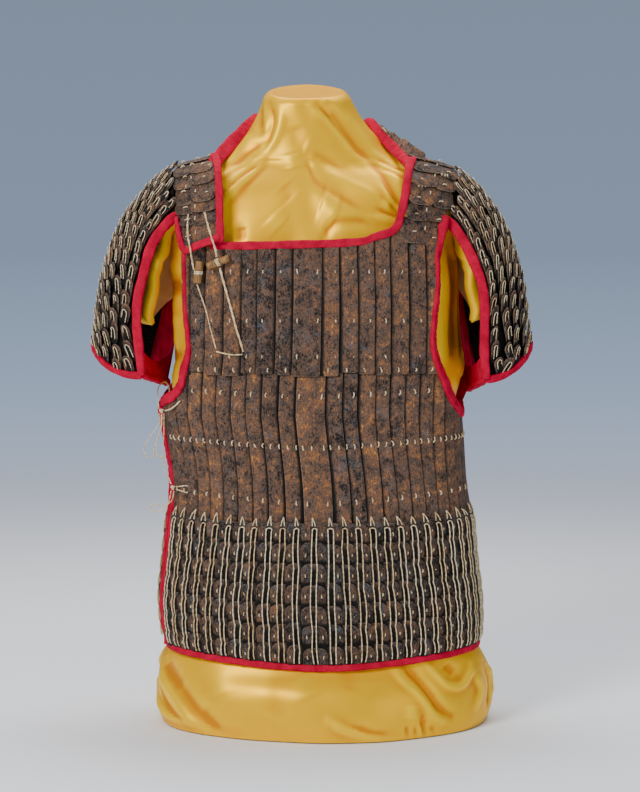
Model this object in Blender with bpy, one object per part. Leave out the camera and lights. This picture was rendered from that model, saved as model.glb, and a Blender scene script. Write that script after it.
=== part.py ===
"""A short-sleeved coat of laced iron scales, bound in cloth, on a satin-covered torso stand.

Lengths in the tables are millimetres. X runs from the wearer's right to left, Y from front to back
and Z up from the surface that the stand rests on.
"""
import math

import bmesh
import bpy
import numpy as np
from mathutils import Vector

MM = 0.001
TABLE_ORIGIN = Vector((-7.45, -3.0, 0.0))  # where the middle of the whole figure lies in the tables

# Driving sizes
GAP = 0.3
PLATE_WALL = 4.0  # two or three iron scales deep
TAPE_WALL = 1.6
SATIN_WALL = 1.5
SATIN_GAP = 0.8
SATIN_LOW_EDGE = 1.2
FRONT_HEM = 86.0
SIDE_HEM_RISE = 14.0
SKIRT_TOP = 263.0
SKIRT_ROWS = 7
SUPPORT_INSET = 16.0  # from the sleeve towards the body
SKIRT_STEP = 2.4  # how far each scale row stands out over the row above
CHEST_SEAM = 440.0
CHEST_TOP = 595.0
SHOULDER_BASE = 590.0
SHOULDER_RIDGE_Y = 10.0
SHOULDER_POWER = 2.6
NECK_MIDDLE = -9.0
BACK_NECK = 118.0  # degrees over the shoulder, from the chest, where the back neckline lies
TAPE_WIDTH = 10.0
TAPE_THICKNESS = 6.5
HALF_TAPE = TAPE_WIDTH / 2 + GAP
FORM_COLUMNS = [12.0 * step for step in range(30)]  # degrees round the stand
OPENING_FRONT = -78.0  # degrees round the body from the front to the two edges of the side opening
OPENING_BACK = 274.0

# Outer face of the coat: height, wearer's right, wearer's left, front, back, squareness
COAT = np.array([
    (80, -187, 198, -119, 113, 2.4),
    (126, -194, 202, -119, 115, 2.4),
    (160, -196, 201, -118, 115, 2.4),
    (200, -192, 196, -114, 112, 2.4),
    (262, -186, 190, -108, 108, 2.4),
    (301, -183, 184, -105, 105, 2.5),
    (351, -190, 181, -103, 104, 2.6),
    (390, -196, 179, -103, 104, 2.8),
    (440, -193, 180, -103, 104, 2.9),
    (500, -192, 181, -103, 105, 3.0),
    (600, -198, 186, -99, 101, 3.0),
], float)

# Torso form: height, middle, half width, front, back, squareness, backward rise of the ring
FORM = np.array([
    (0, 8, 188, -122, 116, 2.1, 0),
    (10, 8, 203, -133, 127, 2.1, 0),
    (34, 8, 207, -136, 130, 2.1, 0),
    (62, 7, 202, -124, 120, 2.1, 0),
    (78, 6.5, 190, -109, 106, 2.2, 0),
    (92, 5.5, 184, -107, 104, 2.3, 0),
    (150, 4, 183, -106, 104, 2.4, 0),
    (262, 1, 175, -98, 97, 2.4, 0),
    (351, -3, 171, -94, 95, 2.5, 0),
    (396, -3, 171, -94, 96, 2.6, 0),
    (430, -1.5, 176, -94, 96, 2.6, 0),
    (520, -4, 177, -93, 96, 2.6, 0),
    (600, -6, 177, -86, 91, 2.6, 0),
    (640, -7, 176, -77, 86, 2.6, 0),
    (664, -8, 171, -68, 78, 2.5, 0),
    (680, -8, 156, -58, 70, 2.4, 0),
    (692, -9, 128, -50, 62, 2.3, 0),
    (706, -10, 103, -46, 57, 2.2, 0),
    (730, -11, 80, -43, 53, 2.1, 0.05),
    (756, -13, 62, -42, 50, 2.0, 0.16),
    (784, -14.5, 49, -40, 46, 2.0, 0.29),
], float)

# Height of the shoulder ridge: distance from the neck's middle, height
RIDGE = np.array([
    (60, 766),
    (70, 757),
    (95, 730),
    (120, 707),
    (150, 699),
    (190, 688),
], float)

# Edges of the shoulder straps: degrees over the shoulder, outer edge, inner edge
RIGHT_STRAP = np.array([
    (0, -162, -116),
    (6, -170, -116),
    (24, -172, -117.5),
    (44, -174, -120),
    (66, -176, -125),
    (76, -176, -126),
    (90, -176, -110),
    (104, -175, -93),
    (118, -174, -77),
], float)
LEFT_STRAP = np.array([
    (0, 147, 60),
    (3, 149, 65),
    (5.5, 150.5, 79.5),
    (8, 152, 92),
    (11, 153.5, 97.5),
    (17, 157, 101),
    (28, 163, 106),
    (44, 168, 110.5),
    (66, 170, 114),
    (76, 170, 110),
    (90, 170, 94),
    (104, 169, 82),
    (118, 168, 67),
], float)

# Middle of the armhole bindings: height, degrees round the body from the front
RIGHT_ARMHOLE_FRONT = np.array([
    (402, 78), (408, 71), (422, 65), (436, 63.8), (449, 62.4),
    (462, 61.2), (482, 61.6), (508, 62.8), (540, 63.2), (600, 63.4),
], float)
LEFT_ARMHOLE_FRONT = np.array([
    (390, 79), (398, 74.5), (408, 70.5), (426, 66.6), (443, 63.3),
    (459, 61.3), (475, 60.4), (508, 60.6), (540, 61.7), (600, 61.9),
], float)
ARMHOLE_BACK = np.array([
    (393, 88), (400, 96), (412, 105), (430, 112), (450, 116), (480, 117.5), (540, 117.5), (600, 116),
], float)

# Top of the waist scales: degrees round the body, height
WAIST_TOP = np.array([
    (-78, 394), (-70.4, 400), (-63.5, 416), (-61.7, 434), (-60.6, CHEST_SEAM),
    (61, CHEST_SEAM), (62, 436), (68.5, 403), (73, 391), (78, 384), (84, 381),
    (89, 385), (97, 391), (106, 404), (113.6, 423), (117, CHEST_SEAM), (243, CHEST_SEAM),
    (246.4, 423), (254, 404), (263, 391), (271, 384), (275, 382),
], float)

# Sleeve rows from the shoulder seam to the hem:
# place, then front edge, outermost line and back edge, each as x, y, z
RIGHT_SLEEVE = np.array([
    (0.000, -176, -66, 632, -179, 5, 696, -178, 72, 640),
    (0.125, -187, -71, 618, -203, 5, 679, -187, 77, 620),
    (0.250, -199, -74, 601, -225, 5, 655, -192, 80, 598),
    (0.375, -208, -76, 580, -243, 5, 630, -195, 82, 572),
    (0.500, -215, -77, 555, -257, 5, 600, -197, 83, 545),
    (0.625, -221, -77, 528, -268, 5, 566, -200, 83, 517),
    (0.750, -222, -76, 497, -275, 5, 532, -206, 82, 489),
    (0.875, -219, -75, 468, -280, 5, 500, -213, 80, 461),
    (1.000, -216, -73, 440, -282, 5, 472, -220, 78, 434),
], float)
LEFT_SLEEVE = np.array([
    (0.000, 159, -66, 626, 174, 5, 691, 163, 72, 636),
    (0.125, 170, -71, 612, 194, 5, 675, 173, 77, 617),
    (0.250, 181, -74, 592, 212, 5, 655, 178, 80, 595),
    (0.375, 190, -76, 571, 228, 5, 631, 181, 82, 570),
    (0.500, 198, -77, 548, 241, 5, 604, 184, 83, 543),
    (0.625, 201, -77, 521, 251, 5, 574, 188, 83, 513),
    (0.750, 201, -76, 492, 258, 5, 541, 193, 82, 485),
    (0.875, 201, -75, 466, 263, 5, 507, 199, 80, 457),
    (1.000, 204, -73, 441, 267, 5, 474, 206, 78, 430),
], float)

# Free edge of the cloth gusset under each arm: place along the sleeve, x, y, z
RIGHT_GUSSET = np.array([
    (0.60, -195, 72, 524),
    (0.80, -186, 38, 476),
    (1.00, -190, -8, 425),
], float)
LEFT_GUSSET = np.array([
    (0.60, 184, 72, 519),
    (0.80, 181, 38, 470),
    (1.00, 190, -6, 415),
], float)

MATERIALS = {
    # slot: colour, metallic, roughness
    "rusted_iron": ((0.10, 0.065, 0.045), 0.75, 0.6),
    "binding_cloth": ((0.52, 0.012, 0.045), 0.0, 0.75),
    "gusset_cloth": ((0.36, 0.012, 0.03), 0.0, 0.8),
    "satin": ((0.80, 0.50, 0.04), 0.0, 0.35),
    "form_board": ((0.45, 0.30, 0.16), 0.0, 0.8),
    "toggle_wood": ((0.42, 0.27, 0.15), 0.0, 0.65),
    "cord": ((0.58, 0.46, 0.29), 0.0, 0.85),
}


def clear_scene():
    for found in list(bpy.data.objects):
        bpy.data.objects.remove(found, do_unlink=True)


def material(slot):
    made = bpy.data.materials.get(slot)
    if made is None:
        colour, metallic, roughness = MATERIALS[slot]
        made = bpy.data.materials.new(slot)
        made.use_nodes = True
        shader = made.node_tree.nodes["Principled BSDF"]
        shader.inputs["Base Color"].default_value = (*colour, 1)
        shader.inputs["Metallic"].default_value = metallic
        shader.inputs["Roughness"].default_value = roughness
    return made


def in_place(point):
    """A point of the tables as a place in the model, in metres."""
    return (Vector(point) - TABLE_ORIGIN) * MM


def add_mesh(name, slot, bm):
    bmesh.ops.recalc_face_normals(bm, faces=bm.faces)
    mesh = bpy.data.meshes.new(name)
    bm.to_mesh(mesh)
    bm.free()
    mesh.shade_smooth()
    mesh.set_sharp_from_angle(angle=math.radians(40))
    mesh.materials.append(material(slot))
    made = bpy.data.objects.new(name, mesh)
    bpy.context.scene.collection.objects.link(made)
    return made


def along(table, place):
    """The values at a place down a table's first column, on a smooth curve through its rows."""
    stations = table[:, 0]
    values = table[:, 1:]
    slopes = np.gradient(values, stations, axis=0)
    k = int(np.clip(np.searchsorted(stations, place) - 1, 0, len(stations) - 2))
    span = stations[k + 1] - stations[k]
    s = float(np.clip((place - stations[k]) / span, 0, 1))
    start = (1 + 2 * s) * (1 - s) ** 2 * values[k] + s * (1 - s) ** 2 * span * slopes[k]
    end = s * s * (3 - 2 * s) * values[k + 1] - s * s * (1 - s) * span * slopes[k + 1]
    return start + end


def rounded_section(half, depth, power, degrees):
    """Distance from the middle to a rounded rectangle's outline, in a direction from the front."""
    turn = math.radians(degrees)
    across = (abs(math.sin(turn)) / half) ** power
    forward = (abs(math.cos(turn)) / depth) ** power
    return (across + forward) ** (-1 / power)


# Surfaces of the figure: each takes two places on the surface and a distance out from it

def coat_surface(degrees, height, out):
    right, left, front, back, power = along(COAT, height)
    turn = math.radians(degrees)
    depth = -front if math.cos(turn) > 0 else back
    reach = rounded_section((left - right) / 2 + out, depth + out, power, degrees)
    return Vector(((left + right) / 2 + reach * math.sin(turn), -reach * math.cos(turn), height))


def form_surface(degrees, height, out):
    middle, half, front, back, power, rise = along(FORM, height)
    turn = math.radians(degrees)
    depth = -front if math.cos(turn) > 0 else back
    reach = rounded_section(half + out, depth + out, power, degrees)
    y = -reach * math.cos(turn)
    return Vector((middle + reach * math.sin(turn), y, height + rise * y))


def shoulder_surface(x, degrees, out):
    """A scale strap's face at x, from the chest at 0 degrees over the ridge at 90 to the back at 180."""
    right, left, front, back, power = along(COAT, SHOULDER_BASE)
    half = (left - right) / 2
    across = (1 - min(abs(x - (left + right) / 2) / half, 1) ** power) ** (1 / power)
    ridge = along(RIDGE, abs(x - NECK_MIDDLE))[0] + out
    turn = math.radians(degrees)
    rise = abs(math.sin(turn)) ** (2 / SHOULDER_POWER)
    run = abs(math.cos(turn)) ** (2 / SHOULDER_POWER)
    face = front * across - out if degrees < 90 else back * across + out
    y = SHOULDER_RIDGE_Y + (face - SHOULDER_RIDGE_Y) * run
    return Vector((x, y, SHOULDER_BASE + (ridge - SHOULDER_BASE) * rise))


def outward(surface, u, v, inside):
    """Unit normal of a surface of two places, turned away from a point inside."""
    step = 1e-3
    across = surface(u + step, v) - surface(u - step, v)
    down = surface(u, v + step) - surface(u, v - step)
    normal = across.cross(down).normalized()
    return normal if normal.dot(surface(u, v) - inside) > 0 else -normal


def sleeve_face(table, degrees, place):
    front_edge, outermost, back_edge = along(table, place).reshape(3, 3)
    edge = front_edge if degrees < 90 else back_edge
    turn = math.radians(degrees)
    reach = math.sin(turn)
    x, y, z = edge + (outermost - edge) * reach
    y = outermost[1] + (edge[1] - outermost[1]) * abs(math.cos(turn))
    return Vector((x, y, z))


def sleeve_surface(table):
    """A sleeve's face by degrees round the arm, from the front edge, and place down the sleeve."""
    def surface(degrees, place, out):
        def face(u, v):
            return sleeve_face(table, u, v)
        held = min(max(place, 0.002), 0.998)
        arm = along(table, held).reshape(3, 3).mean(axis=0)
        inside = Vector((arm[0] * 0.9, 5, arm[2] - 30))
        return face(degrees, place) + outward(face, degrees, held, inside) * out
    return surface


def gusset_surface(sleeve_table, gusset_table):
    """The cloth under the arm, from the last scales at 0 to its free edge at 1, down the sleeve."""
    def surface(reach, place, out):
        start = Vector(along(sleeve_table, place)[6:9])
        end = Vector(along(gusset_table, place))
        turn = reach * math.pi / 2
        x = start.x + (end.x - start.x) * math.sin(turn)
        y = end.y + (start.y - end.y) * math.cos(turn)
        z = start.z + (end.z - start.z) * math.sin(turn)
        outside = Vector((0, 1, -0.2)).normalized()
        return Vector((x, y, z)) + outside * out
    return surface


def wall(name, slot, surface, columns, rows, outer, inner, closed=False):
    """A closed sheet between two distances from a surface.

    Each row is a function of the column, or a number; outer may be a list with one value a row.
    """
    outers = outer if isinstance(outer, list) else [outer] * len(rows)
    bm = bmesh.new()
    sheets = []
    for outs in (outers, [inner] * len(rows)):
        sheet = []
        for row, out in zip(rows, outs):
            places = ((u(row), row) if callable(u) else (u, row(u) if callable(row) else row)
                      for u in columns)
            sheet.append([bm.verts.new(in_place(surface(u, v, out))) for u, v in places])
        sheets.append(sheet)
    count = len(columns)
    spans = count if closed else count - 1
    for sheet in sheets:
        for low, high in zip(sheet, sheet[1:]):
            for i in range(spans):
                j = (i + 1) % count
                bm.faces.new((low[i], low[j], high[j], high[i]))
    for edge in (0, -1):
        for i in range(spans):
            j = (i + 1) % count
            bm.faces.new((sheets[0][edge][i], sheets[0][edge][j], sheets[1][edge][j], sheets[1][edge][i]))
    if not closed:
        for side in (0, -1):
            for k in range(len(rows) - 1):
                bm.faces.new((sheets[0][k][side], sheets[0][k + 1][side],
                              sheets[1][k + 1][side], sheets[1][k][side]))
    return add_mesh(name, slot, bm)


def tape(name, route, width=TAPE_WIDTH, thickness=TAPE_THICKNESS, sides=6):
    """Cloth folded over an edge: an oval swept along (point, outward direction) pairs."""
    bm = bmesh.new()
    rings = []
    points = [point for point, _ in route]
    for k, (point, facing) in enumerate(route):
        tangent = (points[min(k + 1, len(points) - 1)] - points[max(k - 1, 0)]).normalized()
        side = tangent.cross(facing).normalized()
        lift = side.cross(tangent).normalized()
        ring = []
        for n in range(sides):
            turn = 2 * math.pi * n / sides
            offset = side * math.cos(turn) * width / 2 + lift * math.sin(turn) * thickness / 2
            ring.append(bm.verts.new(in_place(point + offset)))
        rings.append(ring)
    for low, high in zip(rings, rings[1:]):
        for n in range(sides):
            m = (n + 1) % sides
            bm.faces.new((low[n], low[m], high[m], high[n]))
    bm.faces.new(rings[0])
    bm.faces.new(rings[-1])
    return add_mesh(name, "binding_cloth", bm)


def route_on(surface, places, lift=0.0):
    """(point, outward direction) pairs in the middle of a wall, at each of the given places."""
    route = []
    for u, v in places:
        middle = surface(u, v, lift - PLATE_WALL / 2)
        route.append((middle, (surface(u, v, lift) - middle).normalized()))
    return route


def smooth_path(points, spacing):
    """Evenly spaced points on a smooth curve through the given ones."""
    route = [Vector(p) for p in points]
    ends = [2 * route[0] - route[1], *route, 2 * route[-1] - route[-2]]
    dense = []
    steps = 24
    for a, b, c, d in zip(ends, ends[1:], ends[2:], ends[3:]):
        for n in range(steps):
            t = n / steps
            bend = 2 * a - 5 * b + 4 * c - d
            dense.append((2 * b + (c - a) * t + bend * t * t + (3 * b - a - 3 * c + d) * t ** 3) / 2)
    dense.append(route[-1])
    lengths = np.cumsum([0] + [(q - p).length for p, q in zip(dense, dense[1:])])
    count = max(3, round(lengths[-1] / spacing) + 1)
    wanted = np.linspace(0, lengths[-1], count)
    columns = [np.interp(wanted, lengths, [p[axis] for p in dense]) for axis in range(3)]
    return [Vector(point) for point in zip(*columns)]


def cord(name, points, diameter, spacing=3.0):
    """A cord as a filled tube, with a point every few diameters."""
    path = smooth_path(points, spacing * diameter)
    curve = bpy.data.curves.new(name, "CURVE")
    curve.dimensions = "3D"
    curve.bevel_depth = diameter / 2 * MM
    curve.bevel_resolution = 2
    curve.use_fill_caps = True
    spline = curve.splines.new("POLY")
    spline.points.add(len(path) - 1)
    for spot, point in zip(spline.points, path):
        spot.co = (*in_place(point), 1)
    curve.materials.append(material("cord"))
    made = bpy.data.objects.new(name, curve)
    bpy.context.scene.collection.objects.link(made)
    return made


def spread(start, end, count):
    return [float(value) for value in np.linspace(start, end, count)]


def hem_height(degrees):
    return FRONT_HEM + SIDE_HEM_RISE * math.sin(math.radians(degrees)) ** 2


# The stand

def torso_form():
    """The solid torso, from its flat base to the sloping disc on the neck."""
    bm = bmesh.new()
    heights = [float(h) for h in FORM[:, 0]]
    rings = [[bm.verts.new(in_place(form_surface(a, h, 0))) for a in FORM_COLUMNS] for h in heights]
    for low, high in zip(rings, rings[1:]):
        for i in range(len(FORM_COLUMNS)):
            j = (i + 1) % len(FORM_COLUMNS)
            bm.faces.new((low[i], low[j], high[j], high[i]))
    bm.faces.new(rings[0])
    bm.faces.new(rings[-1])
    add_mesh("torso_form", "form_board", bm)


def satin_cover():
    """Satin drawn over the form, closed over the neck disc and tucked in at the base."""
    bm = bmesh.new()
    heights = [float(h) for h in FORM[:, 0]]
    heights[0] = SATIN_LOW_EDGE
    sheets = []
    for out in (SATIN_GAP + SATIN_WALL, SATIN_GAP):
        rings = [[bm.verts.new(in_place(form_surface(a, h, out))) for a in FORM_COLUMNS] for h in heights]
        lift = Vector((0, 0, out * MM))
        for vert in rings[-1]:
            vert.co += lift
        sheets.append(rings)
    count = len(FORM_COLUMNS)
    for rings in sheets:
        for low, high in zip(rings, rings[1:]):
            for i in range(count):
                j = (i + 1) % count
                bm.faces.new((low[i], low[j], high[j], high[i]))
        bm.faces.new(rings[-1])
    for i in range(count):
        j = (i + 1) % count
        bm.faces.new((sheets[0][0][i], sheets[0][0][j], sheets[1][0][j], sheets[1][0][i]))
    add_mesh("satin_cover", "satin", bm)


def sleeve_supports():
    """Padded satin arches that stand in the sleeves and hold them out."""
    for side, table, sign in (("right", RIGHT_SLEEVE, -1), ("left", LEFT_SLEEVE, 1)):
        shell = sleeve_surface(table)

        def surface(degrees, place, out, shell=shell, sign=sign):
            return shell(degrees, place, out) - Vector((sign * SUPPORT_INSET, 0, 0))
        wall(f"sleeve_support_{side}", "satin", surface,
             spread(20, 160, 10), spread(0.22, 0.70, 5), -PLATE_WALL - 3, -PLATE_WALL - 11)


# The coat's scales

def chest_front():
    def edge(side, table):
        return lambda height: side * (along(table, height)[0] - 1.9)
    right = edge(-1, RIGHT_ARMHOLE_FRONT)
    left = edge(1, LEFT_ARMHOLE_FRONT)

    def column(share):
        return lambda height: right(height) + share * (left(height) - right(height))
    rows = [CHEST_SEAM + GAP, 452, 466, 485, 510, 545, 575, CHEST_TOP - HALF_TAPE]
    wall("chest_front", "rusted_iron", coat_surface,
         [column(share) for share in spread(0, 1, 13)], rows, 0, -PLATE_WALL)


def chest_back():
    def column(share):
        def place(height):
            edge = along(ARMHOLE_BACK, height)[0] + 2.3
            return edge + share * (360 - 2 * edge)
        return place
    rows = [CHEST_SEAM + GAP, 460, 480, 510, 550, SHOULDER_BASE]
    wall("chest_back", "rusted_iron", coat_surface,
         [column(share) for share in spread(0, 1, 12)], rows, 0, -PLATE_WALL)


def waist_wrap():
    """One row of long scales round the waist, open down the wearer's right side."""
    low = SKIRT_TOP + GAP

    def row(share):
        return lambda degrees: low + share * (np.interp(degrees, WAIST_TOP[:, 0], WAIST_TOP[:, 1]) - low)
    corners = [float(a) for a in WAIST_TOP[1:-1, 0]]
    columns = sorted({OPENING_FRONT + 1.9, OPENING_BACK - 1.9, *corners,
                      *spread(-48, 48, 7), *spread(127, 233, 7)})
    wall("waist_wrap", "rusted_iron", coat_surface,
         columns, [row(share) for share in spread(0, 1, 5)], 0, -PLATE_WALL)


def skirt_wrap():
    """Seven rows of small scales, each laid over the foot of the row above."""
    columns = spread(OPENING_FRONT + 1.9, OPENING_BACK - 1.9, 37)

    def row(share):
        def height(degrees):
            foot = hem_height(degrees) + HALF_TAPE
            return foot + share * (SKIRT_TOP - foot)
        return height
    rows = []
    outs = []
    for k in range(SKIRT_ROWS):
        rows += [row(k / SKIRT_ROWS), row((k + 0.97) / SKIRT_ROWS)]
        outs += [0.6, SKIRT_STEP]
    rows.append(row(1.0))
    outs.append(0.6)
    wall("skirt_wrap", "rusted_iron", coat_surface, columns, rows, outs, -PLATE_WALL + 1)


def strap_lift(degrees):
    """How far the wearer's right strap stands off, where its end lies over the chest."""
    return 7.0 * max(0.0, 1 - degrees / 40)


def shoulder_straps():
    """Short rows of scales over each shoulder, from the chest to the back neckline."""
    starts = {"right": [2.0], "left": [0.05, 3.0, 5.5, 8.5]}
    for side, table, sign in (("right", RIGHT_STRAP, -1), ("left", LEFT_STRAP, 1)):
        lifted = side == "right"

        def surface(share, degrees, out, table=table, sign=sign, lifted=lifted):
            outer, inner = along(table, degrees)
            outer_gap = HALF_TAPE + 2.2 if degrees < 20 else 0
            start = outer - sign * outer_gap
            end = inner + sign * (HALF_TAPE + 0.6)
            rise = strap_lift(degrees) if lifted else 0
            return shoulder_surface(start + share * (end - start), degrees, out + rise)
        rows = [*starts[side], 12, 19, 24, 36, 50, 64, 76, 90, 104, BACK_NECK - 0.6]
        wall(f"shoulder_strap_{side}", "rusted_iron", surface, spread(0, 1, 5), rows, 0, -PLATE_WALL)


def yoke_back():
    """Scales of the upper back, from the shoulder blades to the back neckline."""
    def surface(share, degrees, out):
        right = np.interp(degrees, (BACK_NECK, 150, 165, 180), (-173.5, -170, -162, -153))
        left = np.interp(degrees, (BACK_NECK, 150, 165, 180), (167.5, 163, 153.5, 142.5))
        return shoulder_surface(right + share * (left - right), degrees, out)
    rows = [BACK_NECK + 5.0, 128, 140, 152, 164, 174, 179.5]
    wall("yoke_back", "rusted_iron", surface, spread(0, 1, 15), rows, 0, -PLATE_WALL)


def sleeves():
    """Each sleeve is a shell of small scales round the outside of the arm, open in front and below."""
    for side, table in (("right", RIGHT_SLEEVE), ("left", LEFT_SLEEVE)):
        wall(f"sleeve_{side}", "rusted_iron", sleeve_surface(table),
             spread(7, 175, 15), spread(0.02, 0.97, 9), 0, -PLATE_WALL)


# The cloth

def sleeve_gussets():
    tables = (("right", RIGHT_SLEEVE, RIGHT_GUSSET), ("left", LEFT_SLEEVE, LEFT_GUSSET))
    for side, sleeve_table, gusset_table in tables:
        wall(f"sleeve_gusset_{side}", "gusset_cloth", gusset_surface(sleeve_table, gusset_table),
             spread(0.03, 0.95, 6), spread(0.62, 0.975, 5), TAPE_WALL / 2, -TAPE_WALL / 2)


def neck_binding():
    """Tape round the whole neckline, from under the right strap to the end of that strap."""
    front = [(-54, CHEST_TOP), (-40, CHEST_TOP), (-20, CHEST_TOP + 1), (0, CHEST_TOP + 2),
             (18, CHEST_TOP + 3), (32, CHEST_TOP + 5)]
    route = route_on(coat_surface, front)
    rising = [(72, 5.5), (87, 8)]
    rising += [(float(along(LEFT_STRAP, a)[1]), a) for a in (13, 20, 28, 36, 44, 54, 64)]
    over = [(float(along(LEFT_STRAP, a)[1]), a) for a in (72, 80, 90, 100, 110)]
    behind = [(x, BACK_NECK) for x in (58, 36, 12, -12, -36, -66)]
    down = [(float(along(RIGHT_STRAP, a)[1]), a)
            for a in (110, 100, 90, 82, 74, 66, 56, 44, 32, 22, 12, 4)]
    for x, a in rising + over + behind + down:
        route += route_on(shoulder_surface, [(x, a)], strap_lift(a) if x < 0 and a < 90 else 0)
    tape("neck_binding", route)


def strap_end_binding():
    """Tape round the free end of the wearer's right strap and up its outer edge."""
    places = [(-124, 0.8), (-134, 0.6), (-145, 0.4), (-155, 0.3),
              (-163, 0.6), (-168, 3), (-170.5, 7), (-172, 12)]
    route = []
    for x, degrees in places:
        route += route_on(shoulder_surface, [(x, degrees)], strap_lift(degrees))
    tape("strap_end_binding", route, width=9.0)


def armhole_bindings():
    def front(table, sign, heights):
        return [(sign * float(along(table, h)[0]), h) for h in heights]

    def back(sign, heights):
        turn = [float(along(ARMHOLE_BACK, h)[0]) for h in heights]
        return [(a if sign > 0 else 360 - a, h) for a, h in zip(turn, heights)]
    front_heights = [580, 560, 540, 508, 482, 466, 452, 440, 428, 418]
    back_heights = [400, 412, 430, 450, 480, 515, 550, 590]

    left = [(150, 9), (148, 5), (146.5, 2)]
    route = [pair for x, a in left for pair in route_on(shoulder_surface, [(x, a)])]
    route += route_on(coat_surface, front(LEFT_ARMHOLE_FRONT, 1, [*front_heights, 408, 398, 391]))
    route += route_on(coat_surface, [(84, 389)] + back(1, back_heights))
    route += [pair for x, a in ((157, 175), (163, 166)) for pair in route_on(shoulder_surface, [(x, a)])]
    tape("armhole_binding_left", route)

    right_heights = [*front_heights[:-1], 420, 412, 407, 403.5]
    route = route_on(coat_surface, front(RIGHT_ARMHOLE_FRONT, -1, right_heights))
    tape("armhole_binding_right", route, width=9.0)

    route = [pair for x, a in ((-171, 166), (-166, 175)) for pair in route_on(shoulder_surface, [(x, a)])]
    route += route_on(coat_surface, back(-1, back_heights[::-1]) + [(OPENING_BACK, 393)])
    route += route_on(coat_surface, [(OPENING_BACK, h) for h in (380, 350, 310, 262, 200, 150, 112)])
    tape("opening_binding_back", route, width=8.0)

    opening_heights = (396, 375, 350, 325, 300, 280, 262, 230, 190, 150, 112)
    route = route_on(coat_surface, [(OPENING_FRONT, h) for h in opening_heights])
    tape("opening_binding_front", route, width=8.0)


def hem_binding():
    places = [(a, hem_height(a)) for a in spread(OPENING_FRONT - 1, OPENING_BACK + 1, 37)]
    tape("hem_binding", route_on(coat_surface, places), width=9.0)


def sleeve_bindings():
    """Tape down the front edge of each sleeve and round its hem to the corner under the arm."""
    tables = (("right", RIGHT_SLEEVE, RIGHT_GUSSET), ("left", LEFT_SLEEVE, LEFT_GUSSET))
    for side, sleeve_table, gusset_table in tables:
        surface = sleeve_surface(sleeve_table)
        front = [(0.5, place) for place in (0.03, 0.08, 0.16, 0.27, 0.38, 0.5, 0.62, 0.74, 0.86, 0.95)]
        hem = [(turn, 1.0) for turn in (6, 18, 32, 48, 66, 84, 96, 114, 132, 148, 162, 174)]
        route = route_on(surface, front + hem)
        gusset = gusset_surface(sleeve_table, gusset_table)
        under = [(reach, 1.0) for reach in (0.1, 0.3, 0.5, 0.7, 0.85, 1.0)]
        for reach, place in under:
            middle = gusset(reach, place, 0)
            route.append((middle, (gusset(reach, place, 1) - middle).normalized()))
        tape(f"sleeve_binding_{side}", route, width=9.0)


# Fastenings

def toggle(name, middle, length, radius, lean):
    """A turned wooden peg, waisted where its cord is tied; lean is in degrees from upright."""
    profile = [(0.0, 0.5), (0.86, 0.5), (1.0, 0.44), (1.0, 0.1), (0.78, 0.05), (0.78, -0.05), (1.0, -0.1),
               (1.0, -0.44), (0.86, -0.5), (0.0, -0.5)]
    sides = 12
    bm = bmesh.new()
    rings = []
    for wide, high in profile[1:-1]:
        ring = []
        for n in range(sides):
            turn = 2 * math.pi * n / sides
            spot = Vector((math.cos(turn) * wide * radius, math.sin(turn) * wide * radius, high * length))
            ring.append(bm.verts.new(spot * MM))
        rings.append(ring)
    for low, high in zip(rings, rings[1:]):
        for n in range(sides):
            m = (n + 1) % sides
            bm.faces.new((low[n], low[m], high[m], high[n]))
    bm.faces.new(rings[0])
    bm.faces.new(rings[-1])
    made = add_mesh(name, "toggle_wood", bm)
    made.location = in_place(middle)
    made.rotation_euler = (0, math.radians(lean), 0)


def knot(name, middle, radius):
    bm = bmesh.new()
    bmesh.ops.create_icosphere(bm, subdivisions=1, radius=radius * MM)
    made = add_mesh(name, "cord", bm)
    made.location = in_place(middle)


def fastenings():
    toggle("toggle_outer", (-143.8, -94.5, 563.0), 26.5, 5.0, 7.0)
    toggle("toggle_inner", (-120.0, -101.5, 575.0), 28.5, 4.3, 69.0)
    cord("strap_cord_outer", [
        (-156, -83, 635), (-157, -87.5, 623), (-156.5, -95, 608), (-154, -99.5, 595),
        (-151.5, -100.5, 580), (-149.2, -97.5, 566)], 2.4)
    cord("strap_cord_inner", [
        (-137.5, -89.5, 641), (-135, -94, 630), (-131.5, -99, 618), (-126.5, -104.5, 602),
        (-123, -106, 591), (-121.2, -105, 581.5)], 2.8)
    cord("chest_cord_outer", [
        (-145.5, -94.8, 548.5), (-141, -93.8, 535), (-135, -93.2, 517), (-129, -94.2, 493),
        (-122.8, -96.6, 470.5)], 1.8)
    cord("chest_cord_cross", [
        (-122.6, -97.1, 467.9), (-113.8, -99.2, 465.6), (-102, -101.4, 464),
        (-91.0, -103.4, 464.4)], 2.0)
    cord("chest_cord_inner", [
        (-89.8, -104.2, 467.8), (-93.5, -104, 481), (-98.1, -103.6, 495.5), (-104, -102.6, 518),
        (-109, -102, 536), (-114, -102.6, 554), (-117.6, -103.4, 568.2)], 2.8)


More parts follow.
